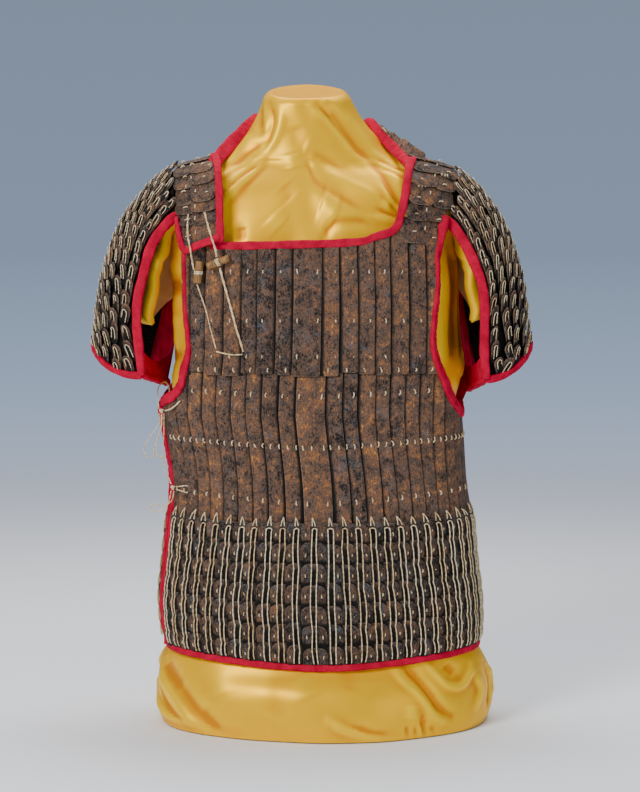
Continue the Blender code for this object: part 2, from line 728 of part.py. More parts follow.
def side_ties():
    """Thin cords that draw the side opening and the sleeve's corner together, tied in two knots."""
    upper = Vector((-192.3, -51, 392.5))
    lower = Vector((-179.0, -49, 297.5))
    knot("tie_knot_upper", upper, 3.4)
    knot("tie_knot_lower", lower, 3.2)
    cord("tie_sleeve_loop", [
        upper + Vector((-3.6, 1.5, 2.5)), (-197.2, -44, 408), (-198, -32, 418.4), (-193.8, -24, 425),
        (-188.6, -22, 425.6), (-185, -27, 419.5), (-184, -31, 413)], 1.6)
    cord("tie_anchor_upper", [
        upper + Vector((4.4, -0.6, 0.2)), (-181, -65, 395.5), (-174, -72, 400.5),
        (-168, -76.5, 406.5)], 2.2)
    cord("tie_loop_long", [
        upper + Vector((-3.2, 0, -3.4)), (-195.6, -48, 377), (-207.7, -44, 359.2),
        (-215.4, -40, 345.9), (-213.1, -38, 337.1), (-207, -37, 333.4), (-202.8, -37, 337.7),
        (-203.2, -39, 345.2), (-198.6, -42, 354.1), (-193.6, -50, 370.4),
        upper + Vector((-0.2, -0.6, -4.6))], 1.6)
    cord("tie_loop_short", [
        upper + Vector((0.6, -3.6, -3.4)), (-192, -55.5, 375.6), (-196.4, -56, 360),
        (-198.8, -55, 349), (-198.4, -54, 341), (-195.4, -52.5, 336.5), (-189, -51.5, 336),
        (-186.6, -52, 330.6)], 1.6)
    cord("tie_strand", [
        upper + Vector((3.0, -2.2, -3.2)), (-189.6, -51.5, 366.8), (-190.6, -50.5, 352.5),
        (-191.6, -49, 344.5), (-191.8, -48.4, 330), (-188.6, -49, 318.4), (-183.6, -49, 308.2),
        lower + Vector((-2.2, -0.6, 4.4))], 1.6)
    cord("tie_loop_lower", [
        lower + Vector((1.4, -2.2, -4.0)), (-178.6, -53, 286.8), (-181.9, -53, 279.8),
        (-191.7, -50, 275.6), (-202.4, -48, 276.6), (-206.7, -47, 273.2), (-203.8, -47, 269.3),
        (-195.4, -48, 269.4), (-187.6, -54, 272.6), (-183.4, -57, 281.5),
        lower + Vector((-2.0, -3.2, -3.8))], 1.6)
    cord("tie_anchor_lower", [
        lower + Vector((4.2, -0.8, 1.4)), (-168.5, -59.5, 300.2), (-160.5, -65.6, 301.4),
        (-157.4, -67.4, 297.4), (-160.5, -65.6, 293.2), (-168.3, -59.8, 294.6),
        lower + Vector((4.0, -1.0, -1.8))], 1.6)


def build():
    clear_scene()
    torso_form()
    satin_cover()
    sleeve_supports()
    chest_front()
    chest_back()
    waist_wrap()
    skirt_wrap()
    shoulder_straps()
    yoke_back()
    sleeves()
    sleeve_gussets()
    neck_binding()
    strap_end_binding()
    armhole_bindings()
    hem_binding()
    sleeve_bindings()
    fastenings()
    side_ties()


build()
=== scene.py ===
"""A short-sleeved coat of laced iron scales, bound in crimson, on a satin-covered torso stand.

Lengths in the tables are millimetres. X runs from the wearer's right to left, Y from front to back
and Z up from the surface that the stand rests on.
"""
import math
from functools import partial

import bmesh
import bpy
import numpy as np
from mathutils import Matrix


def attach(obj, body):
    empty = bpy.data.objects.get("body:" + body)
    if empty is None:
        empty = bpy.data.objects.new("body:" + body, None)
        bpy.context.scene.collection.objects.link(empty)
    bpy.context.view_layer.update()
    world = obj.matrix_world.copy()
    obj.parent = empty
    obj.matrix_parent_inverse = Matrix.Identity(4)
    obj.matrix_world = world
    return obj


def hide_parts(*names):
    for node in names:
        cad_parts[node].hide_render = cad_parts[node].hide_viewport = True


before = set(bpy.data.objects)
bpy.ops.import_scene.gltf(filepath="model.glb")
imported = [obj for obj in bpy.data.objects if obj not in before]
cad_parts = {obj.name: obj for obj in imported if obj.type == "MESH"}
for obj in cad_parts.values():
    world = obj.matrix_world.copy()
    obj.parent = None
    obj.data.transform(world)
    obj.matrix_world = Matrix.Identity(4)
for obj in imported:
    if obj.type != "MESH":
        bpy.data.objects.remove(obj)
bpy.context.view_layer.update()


# ---------------------------------------------------------------------------------------------
# The room. The coat stands on a pale floor in soft studio light: one large lamp from the
# wearer's right, a weaker one from the left and a long one overhead. The camera is at chest
# height, 2.6 m away, and looks slightly down.

camera = bpy.data.objects.new("camera", bpy.data.cameras.new("camera"))
bpy.context.scene.collection.objects.link(camera)
bpy.context.scene.camera = camera
camera.location = (0.0099, -2.597, 0.589)
camera.rotation_euler = (math.radians(86.0), 0, 0)
camera.data.lens = 94.5
camera.data.sensor_width = 36
camera.data.clip_end = 60

LAMPS = (
    # name, place, aimed at, width, height, watts, colour
    ("key_lamp", (-1.7, -2.3, 2.1), (0, 0, 0.45), 1.1, 1.1, 92, (1.0, 0.985, 0.96)),
    ("fill_lamp", (2.2, -2.2, 1.0), (0, 0, 0.40), 1.6, 1.6, 16, (0.95, 0.97, 1.0)),
    ("top_lamp", (0.1, 0.5, 2.4), (0, 0, 0.50), 1.8, 1.0, 44, (1.0, 1.0, 1.0)),
)
for name, place, target, width, height, watts, colour in LAMPS:
    light = bpy.data.lights.new(name, "AREA")
    light.shape = "RECTANGLE"
    light.size, light.size_y = width, height
    light.energy = watts
    light.color = colour
    lamp = bpy.data.objects.new(name, light)
    lamp.location = place
    aim = np.subtract(target, place)
    lamp.rotation_euler = (math.atan2(math.hypot(aim[0], aim[1]), -aim[2]), 0,
                           math.atan2(-aim[0], aim[1]))
    bpy.context.scene.collection.objects.link(lamp)


def add_node(tree, kind, inputs=None, **settings):
    """Adds a shader node; inputs maps its sockets to values or to other nodes' outputs."""
    node = tree.nodes.new("ShaderNode" + kind)
    for name, value in settings.items():
        setattr(node, name, value)
    for socket, value in (inputs or {}).items():
        if isinstance(value, bpy.types.NodeSocket):
            tree.links.new(value, node.inputs[socket])
        else:
            node.inputs[socket].default_value = value
    return node


def ramp(tree, value, *stops):
    """A colour ramp over a value; each stop is a place and a colour or a grey."""
    node = add_node(tree, "ValToRGB", {"Fac": value})
    band = node.color_ramp
    for place, colour in stops[2:]:
        band.elements.new(place)
    ordered = sorted(stops, key=lambda stop: stop[0])
    for element, (place, colour) in zip(band.elements, ordered):
        element.position = place
        element.color = (*colour, 1) if isinstance(colour, tuple) else (colour,) * 3 + (1,)
    return node.outputs["Color"]


def blend(tree, share, first, second, how="MIX"):
    """Mixes two colours."""
    node = add_node(tree, "Mix", {0: share}, data_type="RGBA", blend_type=how)
    for socket, value in ((6, first), (7, second)):
        if isinstance(value, bpy.types.NodeSocket):
            tree.links.new(value, node.inputs[socket])
        else:
            node.inputs[socket].default_value = (*value, 1)
    return node.outputs[2]


def sum_up(tree, how, first, second=0.0, third=0.0):
    """One step of arithmetic."""
    return add_node(tree, "Math", {0: first, 1: second, 2: third}, operation=how).outputs[0]


def noise(tree, place, scale, detail=3.0, roughness=0.55, distortion=0.0):
    """Soft random spots from 0 to 1."""
    inputs = {"Vector": place, "Scale": scale, "Detail": detail, "Roughness": roughness,
              "Distortion": distortion}
    return add_node(tree, "TexNoise", inputs).outputs[0]


def own_place(tree):
    """Places in metres, in the shared frame."""
    return add_node(tree, "TexCoord").outputs["Object"]


def mark_on(tree, name):
    """A number that the mesh carries at its points."""
    return add_node(tree, "Attribute", attribute_name=name).outputs["Fac"]


def new_group(name, inputs, outputs):
    """A node group; inputs gives each socket's value, a number or a colour, outputs its kind."""
    group = bpy.data.node_groups.new(name, "ShaderNodeTree")
    for key, value in inputs.items():
        kind = "NodeSocketColor" if isinstance(value, tuple) else "NodeSocketFloat"
        socket = group.interface.new_socket(name=key, in_out="INPUT", socket_type=kind)
        socket.default_value = value
    for key, kind in outputs.items():
        group.interface.new_socket(name=key, in_out="OUTPUT", socket_type=kind)
    return (group, group.nodes.new("NodeGroupInput").outputs,
            group.nodes.new("NodeGroupOutput").inputs)


def new_material(name, roughness, metallic=0.0, **constants):
    """A material with a Principled shader; constants are its plain socket values."""
    made = bpy.data.materials.new(name)
    made.use_nodes = True
    principled = made.node_tree.nodes["Principled BSDF"]
    principled.inputs["Roughness"].default_value = roughness
    principled.inputs["Metallic"].default_value = metallic
    for key, value in constants.items():
        principled.inputs[key.replace("_", " ")].default_value = value
    return made, made.node_tree, principled


def bump(tree, principled, height, strength, depth):
    """Raises the surface where height is high, by about depth metres."""
    node = add_node(tree, "Bump", {"Strength": strength, "Distance": depth, "Height": height})
    tree.links.new(node.outputs["Normal"], principled.inputs["Normal"])


def spread_between(tree, value, low, high):
    """A value's place between two others, from 0 to 1."""
    inputs = {"Value": value, "From Min": low, "From Max": high}
    return add_node(tree, "MapRange", inputs).outputs["Result"]


# Two tones in soft spots: the floor's paper, pasteboard's fibres, creased leather, worn cloth
MOTTLE, taken, given = new_group(
    "mottle", {"Scale": 240.0, "Detail": 3.0, "Low": 0.3, "High": 0.7,
               "Dark": (0.0, 0.0, 0.0, 1.0), "Light": (1.0, 1.0, 1.0, 1.0)},
    {"Color": "NodeSocketColor", "Spots": "NodeSocketFloat"})
spots = noise(MOTTLE, own_place(MOTTLE), taken["Scale"], taken["Detail"])
share = spread_between(MOTTLE, spots, taken["Low"], taken["High"])
MOTTLE.links.new(blend(MOTTLE, share, taken["Dark"], taken["Light"]), given["Color"])
MOTTLE.links.new(spots, given["Spots"])


def mottled(tree, principled, scale, detail, dark, light, low=0.3, high=0.7):
    """Colours a material in two tones, and gives back the spots."""
    node = add_node(tree, "Group", {"Scale": scale, "Detail": detail, "Low": low, "High": high,
                                    "Dark": (*dark, 1), "Light": (*light, 1)}, node_tree=MOTTLE)
    tree.links.new(node.outputs["Color"], principled.inputs["Base Color"])
    return node.outputs["Spots"]


FLOOR_REACH = 4.5  # metres
bpy.ops.object.select_all(action="DESELECT")
bpy.ops.mesh.primitive_circle_add(vertices=96, radius=FLOOR_REACH, fill_type="NGON")
floor = bpy.context.object
floor.name = "floor"
material, tree, principled = new_material("pale_floor", 0.75)
mottled(tree, principled, 3.0, 2.0, (0.93, 0.95, 1.0), (0.95, 0.97, 1.0))
reach = add_node(tree, "VectorMath", {0: own_place(tree)}, operation="LENGTH").outputs["Value"]
fade = add_node(tree, "MapRange", {"Value": reach, "From Min": 0.9, "From Max": FLOOR_REACH * 0.9,
                                   "To Min": 1.0, "To Max": 0.0}, interpolation_type="SMOOTHSTEP")
tree.links.new(fade.outputs["Result"], principled.inputs["Alpha"])
floor.data.materials.append(material)

world = bpy.data.worlds.new("studio")
world.use_nodes = True
bpy.context.scene.world = world
tree = world.node_tree
way = add_node(tree, "SeparateXYZ", {0: add_node(tree, "TexCoord").outputs["Generated"]})
wall = ramp(tree, sum_up(tree, "MULTIPLY_ADD", way.outputs["Z"], 1.25, 0.5),
            (0.20, (1.0, 1.0, 1.15)), (0.30, (0.85, 0.90, 1.10)), (0.41, (0.47, 0.60, 0.82)),
            (0.50, (0.32, 0.41, 0.57)), (0.65, (0.30, 0.38, 0.52)), (0.90, (0.62, 0.66, 0.72)))
tree.links.new(wall, tree.nodes["Background"].inputs["Color"])
seen = add_node(tree, "LightPath").outputs["Is Camera Ray"]
tree.links.new(sum_up(tree, "MULTIPLY_ADD", seen, 0.27, 0.48),
               tree.nodes["Background"].inputs["Strength"])


# ---------------------------------------------------------------------------------------------
# The free cords: undyed hemp, two strands laid together. Two pairs carry the wooden toggles at
# the wearer's right shoulder and are laced to the chest scales; the rest tie the side opening
# and the sleeve's corner, and end in two small knots.

MM = 0.001
MIDDLE = np.array((-7.45, -3.0, 0.0))  # where the middle of the whole figure lies in the tables
CORD_COLOUR = (0.90, 0.63, 0.30)
UPPER_KNOT = np.array((-192.3, -51, 392.5))
LOWER_KNOT = np.array((-179.0, -49, 297.5))
FREE_CORDS = {
    # name: diameter, far end, what it hangs as, route
    "strap_cord_outer": (2.4, "object", "hanging", [
        (-156, -83, 635), (-157, -87.5, 623), (-156.5, -95, 608), (-154, -99.5, 595),
        (-151.5, -100.5, 580), (-149.2, -97.5, 566)]),
    "strap_cord_inner": (2.8, "object", "hanging", [
        (-137.5, -89.5, 641), (-135, -94, 630), (-131.5, -99, 618), (-126.5, -104.5, 602),
        (-123, -106, 591), (-121.2, -105, 581.5)]),
    "chest_cord_outer": (1.8, "object", "hanging", [
        (-145.5, -94.8, 548.5), (-141, -93.8, 535), (-135, -93.2, 517), (-129, -94.2, 493),
        (-122.8, -96.6, 470.5)]),
    "chest_cord_cross": (2.0, "object", "loose", [
        (-122.6, -97.1, 467.9), (-113.8, -99.2, 465.6), (-102, -101.4, 464),
        (-91.0, -103.4, 464.4)]),
    "chest_cord_inner": (2.8, "object", "hanging", [
        (-89.8, -104.2, 467.8), (-93.5, -104, 481), (-98.1, -103.6, 495.5), (-104, -102.6, 518),
        (-109, -102, 536), (-114, -102.6, 554), (-117.6, -103.4, 568.2)]),
    "tie_sleeve_loop": (1.6, "object", "loose", [
        UPPER_KNOT + (-3.6, 1.5, 2.5), (-197.2, -44, 408), (-198, -32, 418.4), (-193.8, -24, 425),
        (-188.6, -22, 425.6), (-185, -27, 419.5), (-184, -31, 413)]),
    "tie_anchor_upper": (2.2, "object", "loose", [
        UPPER_KNOT + (4.4, -0.6, 0.2), (-181, -65, 395.5), (-174, -72, 400.5),
        (-168, -76.5, 406.5)]),
    "tie_loop_long": (1.6, "knot", "hanging", [
        UPPER_KNOT + (-3.2, 0, -3.4), (-195.6, -48, 377), (-207.7, -44, 359.2),
        (-215.4, -40, 345.9), (-213.1, -38, 337.1), (-207, -37, 333.4), (-202.8, -37, 337.7),
        (-203.2, -39, 345.2), (-198.6, -42, 354.1), (-193.6, -50, 370.4),
        UPPER_KNOT + (-0.2, -0.6, -4.6)]),
    "tie_loop_short": (1.6, "bare", "hanging", [
        UPPER_KNOT + (0.6, -3.6, -3.4), (-192, -55.5, 375.6), (-196.4, -56, 360),
        (-198.8, -55, 349), (-198.4, -54, 341), (-195.4, -52.5, 336.5), (-189, -51.5, 336),
        (-186.6, -52, 330.6)]),
    "tie_strand": (1.6, "knot", "loose", [
        UPPER_KNOT + (3.0, -2.2, -3.2), (-189.6, -51.5, 366.8), (-190.6, -50.5, 352.5),
        (-191.6, -49, 344.5), (-191.8, -48.4, 330), (-188.6, -49, 318.4), (-183.6, -49, 308.2),
        LOWER_KNOT + (-2.2, -0.6, 4.4)]),
    "tie_loop_lower": (1.6, "knot", "hanging", [
        LOWER_KNOT + (1.4, -2.2, -4.0), (-178.6, -53, 286.8), (-181.9, -53, 279.8),
        (-191.7, -50, 275.6), (-202.4, -48, 276.6), (-206.7, -47, 273.2), (-203.8, -47, 269.3),
        (-195.4, -48, 269.4), (-187.6, -54, 272.6), (-183.4, -57, 281.5),
        LOWER_KNOT + (-2.0, -3.2, -3.8)]),
    "tie_anchor_lower": (1.6, "knot", "loose", [
        LOWER_KNOT + (4.2, -0.8, 1.4), (-168.5, -59.5, 300.2), (-160.5, -65.6, 301.4),
        (-157.4, -67.4, 297.4), (-160.5, -65.6, 293.2), (-168.3, -59.8, 294.6),
        LOWER_KNOT + (4.0, -1.0, -1.8)]),
}


def in_place(points):
    """Points of the tables as places in the frame, in metres."""
    return (np.asarray(points, float) - MIDDLE) * MM


def smooth_route(points, spacing):
    """Evenly spaced points on a smooth curve through the given ones."""
    route = np.asarray(points, float)
    ends = np.vstack([2 * route[0] - route[1], route, 2 * route[-1] - route[-2]])
    share = np.linspace(0, 1, 24, endpoint=False)[:, None]
    dense = []
    for a, b, c, d in zip(ends, ends[1:], ends[2:], ends[3:]):
        bend = 2 * a - 5 * b + 4 * c - d
        dense.append((2 * b + (c - a) * share + bend * share ** 2
                      + (3 * b - a - 3 * c + d) * share ** 3) / 2)
    return evenly(np.vstack([*dense, route[-1:]]), spacing)


def running_length(points):
    """Length along a line of points, from 0 at its first one."""
    return np.concatenate([[0], np.cumsum(np.linalg.norm(np.diff(points, axis=0), axis=1))])


def whole_length(points):
    """Length of a line of points from end to end."""
    return float(np.linalg.norm(np.diff(points, axis=0), axis=1).sum())


def evenly(path, spacing):
    """The same path with its points a fixed distance apart; columns after x, y, z go along."""
    lengths = running_length(path[:, :3])
    wanted = np.linspace(0, lengths[-1], max(3, round(lengths[-1] / spacing) + 1))
    return np.stack([np.interp(wanted, lengths, column) for column in path.T], axis=1)


def grid_faces(rows, columns, around=False, first=0):
    """Faces of a grid of points, row by row; around joins the last column to the first."""
    across = np.arange(columns if around else columns - 1)
    low = (np.arange(rows - 1)[:, None] * columns + across).ravel() + first
    right = (np.arange(rows - 1)[:, None] * columns + (across + 1) % columns).ravel() + first
    return np.stack([low, right, right + columns, low + columns], axis=1).tolist()


def tube_faces(rings, sides, first=0):
    """Faces of a tube of rings of points, closed at both ends."""
    last = first + (rings - 1) * sides
    return grid_faces(rings, sides, around=True, first=first) + [
        tuple(range(first + sides - 1, first - 1, -1)), tuple(range(last, last + sides))]


def build_mesh(name, points, faces, material, values=None, places=None, angle=50):
    """An object from points in metres; values are numbers a point, places the corners' UVs."""
    mesh = bpy.data.meshes.new(name)
    mesh.from_pydata(np.asarray(points).tolist(), [], faces)
    for key, numbers in (values or {}).items():
        layer = mesh.attributes.new(key, "FLOAT", "POINT")
        layer.data.foreach_set("value", np.asarray(numbers, np.float32).ravel())
    if places is not None:
        mesh.uv_layers.new(name="UVMap").data.foreach_set("uv", np.ravel(places))
    mesh.shade_smooth()
    mesh.set_sharp_from_angle(angle=math.radians(angle))
    mesh.materials.append(material)
    made = bpy.data.objects.new(name, mesh)
    bpy.context.scene.collection.objects.link(made)
    return made


def settle(piece, slot, *nodes):
    """The piece rides on the only body and stands for these CAD nodes; slot is not used."""
    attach(piece, "root")
    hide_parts(*nodes)


STRAND_LAY = 8  # diameters of cord in which its strands turn once


def lay_cords(name, routes, diameter, material, sides=8, step=0.7, seed=3):
    """Two-strand cords along routes in mm, joined in one mesh.

    The section is an oval that turns along the cord, once for every four diameters; step is the
    distance between sections in diameters.
    """
    draw = np.random.default_rng(seed)
    points, faces, places, tones = [], [], [], []
    corners = np.arange(sides)
    for route in routes:
        path = evenly(np.asarray(route, float), step * diameter)
        ahead = np.gradient(path, axis=0)
        ahead /= np.linalg.norm(ahead, axis=1, keepdims=True)
        across = np.empty_like(path)
        held = np.cross(ahead[0], (0, 0, 1) if abs(ahead[0][2]) < 0.8 else (0, 1, 0))
        for k, direction in enumerate(ahead):
            held = held - direction * held.dot(direction)
            held /= np.linalg.norm(held)
            across[k] = held
        lift = np.cross(ahead, across)
        start = sum(len(block) for block in points)
        twist = 2 * math.pi * np.arange(len(path)) * step / STRAND_LAY + draw.uniform(0, 6)
        turn = 2 * math.pi * corners / sides
        oval = 0.5 * diameter * (0.80 + 0.20 * np.cos(2 * (turn[None, :] - twist[:, None])))
        rings = (path[:, None, :] + across[:, None, :] * (np.cos(turn) * oval)[:, :, None]
                 + lift[:, None, :] * (np.sin(turn) * oval)[:, :, None])
        points.append(rings.reshape(-1, 3))
        tones.append(np.full(len(path) * sides, draw.uniform(0, 1)))
        faces += tube_faces(len(path), sides, start)
        k, n = (values.ravel() for values in np.indices((len(path) - 1, sides)))
        places += np.stack([k * step, n / sides, k * step, (n + 1) / sides, (k + 1) * step,
                            (n + 1) / sides, (k + 1) * step, n / sides], axis=1).ravel().tolist()
        places += [0.0, 0.5] * (2 * sides)
    return build_mesh(name, in_place(np.vstack(points)), faces, material,
                      {"tone": np.concatenate(tones)}, places, angle=80)


def cord_material():
    """Hemp fibre with painted shade between the strands, and pale and soiled stretches."""
    made, tree, principled = new_material("hemp_cord", 0.9, Sheen_Weight=0.25, Sheen_Roughness=0.6)
    spot = add_node(tree, "SeparateXYZ", {0: add_node(tree, "UVMap", uv_map="UVMap").outputs[0]})
    tone = mark_on(tree, "tone")
    here = own_place(tree)
    slant = sum_up(tree, "MULTIPLY_ADD", spot.outputs["X"], 0.25, spot.outputs["Y"])
    strand = sum_up(tree, "SINE", sum_up(tree, "MULTIPLY", slant, 4 * math.pi))
    groove = sum_up(tree, "POWER", sum_up(tree, "MULTIPLY_ADD", strand, 0.5, 0.5), 0.7)
    fibre = noise(tree, here, 1900, 2.0)
    soil = noise(tree, here, 130, 3.0)
    mark = sum_up(tree, "MULTIPLY_ADD", tone, 0.35, sum_up(tree, "MULTIPLY", soil, 0.9))
    base = ramp(tree, mark, (0.28, tuple(0.52 * c for c in CORD_COLOUR)),
                (0.50, CORD_COLOUR), (0.68, (1.0, 0.82, 0.50)))
    # painted shade in the grooves between the two strands
    shade = sum_up(tree, "MULTIPLY_ADD", groove, 0.55, 0.50)
    grain = sum_up(tree, "MULTIPLY_ADD", fibre, 0.5, 0.75)
    colour = blend(tree, 1.0, base, sum_up(tree, "MULTIPLY", shade, grain), "MULTIPLY")
    tree.links.new(colour, principled.inputs["Base Color"])
    bump(tree, principled, sum_up(tree, "MULTIPLY_ADD", fibre, 0.3, groove), 0.8, 0.0004)
    return made


hemp = cord_material()
free_cords = {}
for name, (diameter, far_end, lay, route) in FREE_CORDS.items():
    path = smooth_route(route, 1.0)
    cord = lay_cords(name + "_laid", [path], diameter, hemp, sides=10, step=0.25)
    settle(cord, "cord", name)
    free_cords[name] = (cord, in_place(path), diameter * MM, far_end, lay)


# ---------------------------------------------------------------------------------------------
# The two toggles are turned beech pegs, waisted where the cord is tied round them. Each hangs
# from a shoulder cord and is held down by a chest cord.

TOGGLES = (
    # node, middle, length, radius, lean from upright in degrees
    ("toggle_outer", (-143.8, -94.5, 563.0), 26.5, 5.0, 7.0),
    ("toggle_inner", (-120.0, -101.5, 575.0), 28.5, 4.3, 69.0),
)

wood, tree, principled = new_material("beech_wood", 0.6, Specular_IOR_Level=0.3)
here = own_place(tree)
grain_place = add_node(tree, "Mapping", {"Vector": here, "Scale": (900, 900, 60)})
grain = noise(tree, grain_place.outputs[0], 1.0, 4.0, 0.6, 0.4)
handled = noise(tree, here, 160, 2.0)
pale = ramp(tree, grain, (0.30, (0.12, 0.05, 0.014)), (0.50, (0.30, 0.150, 0.048)),
            (0.72, (0.46, 0.26, 0.10)))
worn = ramp(tree, handled, (0.35, 0.72), (0.65, 1.0))
tree.links.new(blend(tree, 1.0, pale, worn, "MULTIPLY"), principled.inputs["Base Color"])
bump(tree, principled, grain, 0.35, 0.0003)

toggles = {}
for node, middle, length, radius, lean in TOGGLES:
    spot = tuple(float(value) for value in in_place(middle))
    bpy.ops.object.select_all(action="DESELECT")
    bpy.ops.mesh.primitive_cylinder_add(vertices=28, radius=radius * MM, depth=length * MM,
                                        location=spot)
    peg = bpy.context.object
    peg.name = node + "_turned"
    bpy.ops.object.mode_set(mode="EDIT")
    bpy.ops.mesh.select_all(action="SELECT")
    for cut in (-0.32, -0.12, -0.06, -0.03, 0.03, 0.06, 0.12, 0.32):
        bpy.ops.mesh.bisect(plane_co=(spot[0], spot[1], spot[2] + cut * length * MM),
                            plane_no=(0, 0, 1))
        bpy.ops.mesh.select_all(action="SELECT")
    bpy.ops.mesh.select_all(action="DESELECT")
    bpy.ops.object.mode_set(mode="OBJECT")
    for vert in peg.data.vertices:
        from_waist = abs(vert.co.z) / (length * MM)
        narrow = 0.76 if from_waist < 0.04 else 0.90 if from_waist < 0.09 else 1.0
        belly = 1.0 if from_waist < 0.2 or from_waist > 0.45 else 1.03
        vert.co.x *= narrow * belly
        vert.co.y *= narrow * belly
    bevel = peg.modifiers.new("round_ends", "BEVEL")
    bevel.width = 1.1 * MM
    bevel.segments = 3
    bevel.limit_method = "ANGLE"
    bevel.angle_limit = math.radians(50)
    bpy.ops.object.modifier_apply(modifier="round_ends")
    bpy.ops.object.mode_set(mode="EDIT")
    bpy.ops.mesh.select_all(action="SELECT")
    bpy.ops.transform.rotate(value=-math.radians(lean), orient_axis="Y",
                             orient_matrix_type="GLOBAL", center_override=spot)
    bpy.ops.object.mode_set(mode="OBJECT")
    bpy.ops.object.transform_apply(location=True, rotation=True, scale=True)
    bpy.ops.object.shade_smooth_by_angle(angle=math.radians(35))
    peg.data.materials.append(wood)
    settle(peg, "toggle_wood", node)
    toggles[node] = peg


# Short cords across each toggle cord, which hold it down to the strap.
CROSSED_AT = ((-157.2, -88.6, 626.5), (-156.0, -96.5, 606.5), (-133.5, -88.5, 634),
              (-131.0, -97.5, 615.5))
held_down = [smooth_route([(x - 3.2, y + 1.4, z - 0.8), (x - 1.2, y - 0.5, z),
                           (x + 1.4, y - 0.6, z + 0.5), (x + 3.2, y + 1.4, z + 1.1)], 0.5)
             for x, y, z in CROSSED_AT]
crossings = lay_cords("toggle_cord_crossings", held_down, 1.5, hemp, sides=6, step=0.5, seed=19)
settle(crossings, "cord", "strap_cord_outer", "strap_cord_inner")


# ---------------------------------------------------------------------------------------------
# The cord rings tied round the toggles' waists, and the two overhand knots of the side ties:
# each is a short cord wound round itself.

def wound(middle, axis, radius, turns, rise, count=24):
    """A coil round an axis, as points in mm."""
    axis = np.asarray(axis, float) / np.linalg.norm(axis)
    side = np.cross(axis, (0, 1, 0.3))
    side /= np.linalg.norm(side)
    other = np.cross(axis, side)
    turn = np.linspace(0, 2 * math.pi * turns, round(count * turns))[:, None]
    climb = np.linspace(-rise / 2, rise / 2, len(turn))[:, None]
    return (np.asarray(middle, float) + radius * (np.cos(turn) * side + np.sin(turn) * other)
            + climb * axis)


for (node, middle, length, radius, lean), cord_name in zip(TOGGLES, ("outer", "inner")):
    slope = math.radians(lean)
    axis = (math.sin(slope), 0, math.cos(slope))
    ring = lay_cords(f"toggle_ring_{cord_name}", [wound(middle, axis, radius * 0.98, 2.05, 4.2)],
                     1.9, hemp, sides=8, step=0.3, seed=8)
    settle(ring, "cord", node)

KNOTS = (
    # node, middle, radius
    ("tie_knot_upper", UPPER_KNOT, 3.4),
    ("tie_knot_lower", LOWER_KNOT, 3.2),
)
for node, middle, radius in KNOTS:
    turn = np.linspace(0, 2 * math.pi, 60)
    trefoil = np.stack([np.sin(turn) + 2 * np.sin(2 * turn), 0.9 * np.sin(3 * turn),
                        np.cos(turn) - 2 * np.cos(2 * turn)], axis=1) * radius * 0.26
    inner = trefoil[:, (2, 0, 1)] * 0.75
    tied = lay_cords(node + "_tied", [middle + trefoil, middle + inner], 1.9, hemp, sides=8,
                     step=0.35, seed=5)
    settle(tied, "cord", node)

for name, (cord, path, thick, far_end, lay) in free_cords.items():
    followed = [tuple(point) for point in path[::4]] + [tuple(path[-1])]
    tuple(path[0])
    whole_length(path)


# ---------------------------------------------------------------------------------------------
# The torso form: a pasteboard shell with no arms, a sloping neck disc and a wide rounded base.
# The satin hides it everywhere.

# height, middle, half width, front, back, squareness, backward rise of the ring
FORM = np.array([
    (0, 8, 188, -122, 116, 2.1, 0),
    (10, 8, 203, -133, 127, 2.1, 0),
    (34, 8, 207, -136, 130, 2.1, 0),
    (62, 7, 202, -124, 120, 2.1, 0),
    (78, 6.5, 190, -109, 106, 2.2, 0),
    (92, 5.5, 184, -107, 104, 2.3, 0),
    (150, 4, 183, -106, 104, 2.4, 0),
    (262, 1, 175, -98, 97, 2.4, 0),
    (351, -3, 171, -94, 95, 2.5, 0),
    (396, -3, 171, -94, 96, 2.6, 0),
    (430, -1.5, 176, -94, 96, 2.6, 0),
    (520, -4, 177, -93, 96, 2.6, 0),
    (600, -6, 177, -86, 91, 2.6, 0),
    (640, -7, 176, -77, 86, 2.6, 0),
    (664, -8, 171, -68, 78, 2.5, 0),
    (680, -8, 156, -58, 70, 2.4, 0),
    (692, -9, 128, -50, 62, 2.3, 0),
    (706, -10, 103, -46, 57, 2.2, 0),
    (730, -11, 80, -43, 53, 2.1, 0.05),
    (756, -13, 62, -42, 50, 2.0, 0.16),
    (784, -14.5, 49, -40, 46, 2.0, 0.29),
], float)


def along(table, place):
    """The values at places down a table's first column, on smooth curves through its rows."""
    stations, values = table[:, 0], table[:, 1:]
    slopes = np.gradient(values, stations, axis=0)
    place = np.asarray(place, float)
    k = np.clip(np.searchsorted(stations, place) - 1, 0, len(stations) - 2)
    span = (stations[k + 1] - stations[k])[..., None]
    s = np.clip((place - stations[k])[..., None] / span, 0, 1)
    return ((1 + 2 * s) * (1 - s) ** 2 * values[k] + s * (1 - s) ** 2 * span * slopes[k]
            + s * s * (3 - 2 * s) * values[k + 1] - s * s * (1 - s) * span * slopes[k + 1])


def section(half, depth, power, turn):
    """Distance from the middle to a rounded rectangle's outline, in a direction from the front."""
    return ((np.abs(np.sin(turn)) / half) ** power
            + (np.abs(np.cos(turn)) / depth) ** power) ** (-1 / power)


def form(degrees, height, out=0.0):
    """A point of the stand's surface."""
    degrees, height, out = np.broadcast_arrays(degrees, height, np.asarray(out, float))
    middle, half, front, back, power, rise = np.moveaxis(along(FORM, height), -1, 0)
    turn = np.radians(degrees)
    reach = section(half + out, np.where(np.cos(turn) > 0, -front, back) + out, power, turn)
    y = -reach * np.cos(turn)
    return np.stack([middle + reach * np.sin(turn), y, height + rise * y], axis=-1)


board, tree, principled = new_material("pasteboard", 0.85)
mottled(tree, principled, 240, 3.0, (0.38, 0.25, 0.13), (0.50, 0.34, 0.19))

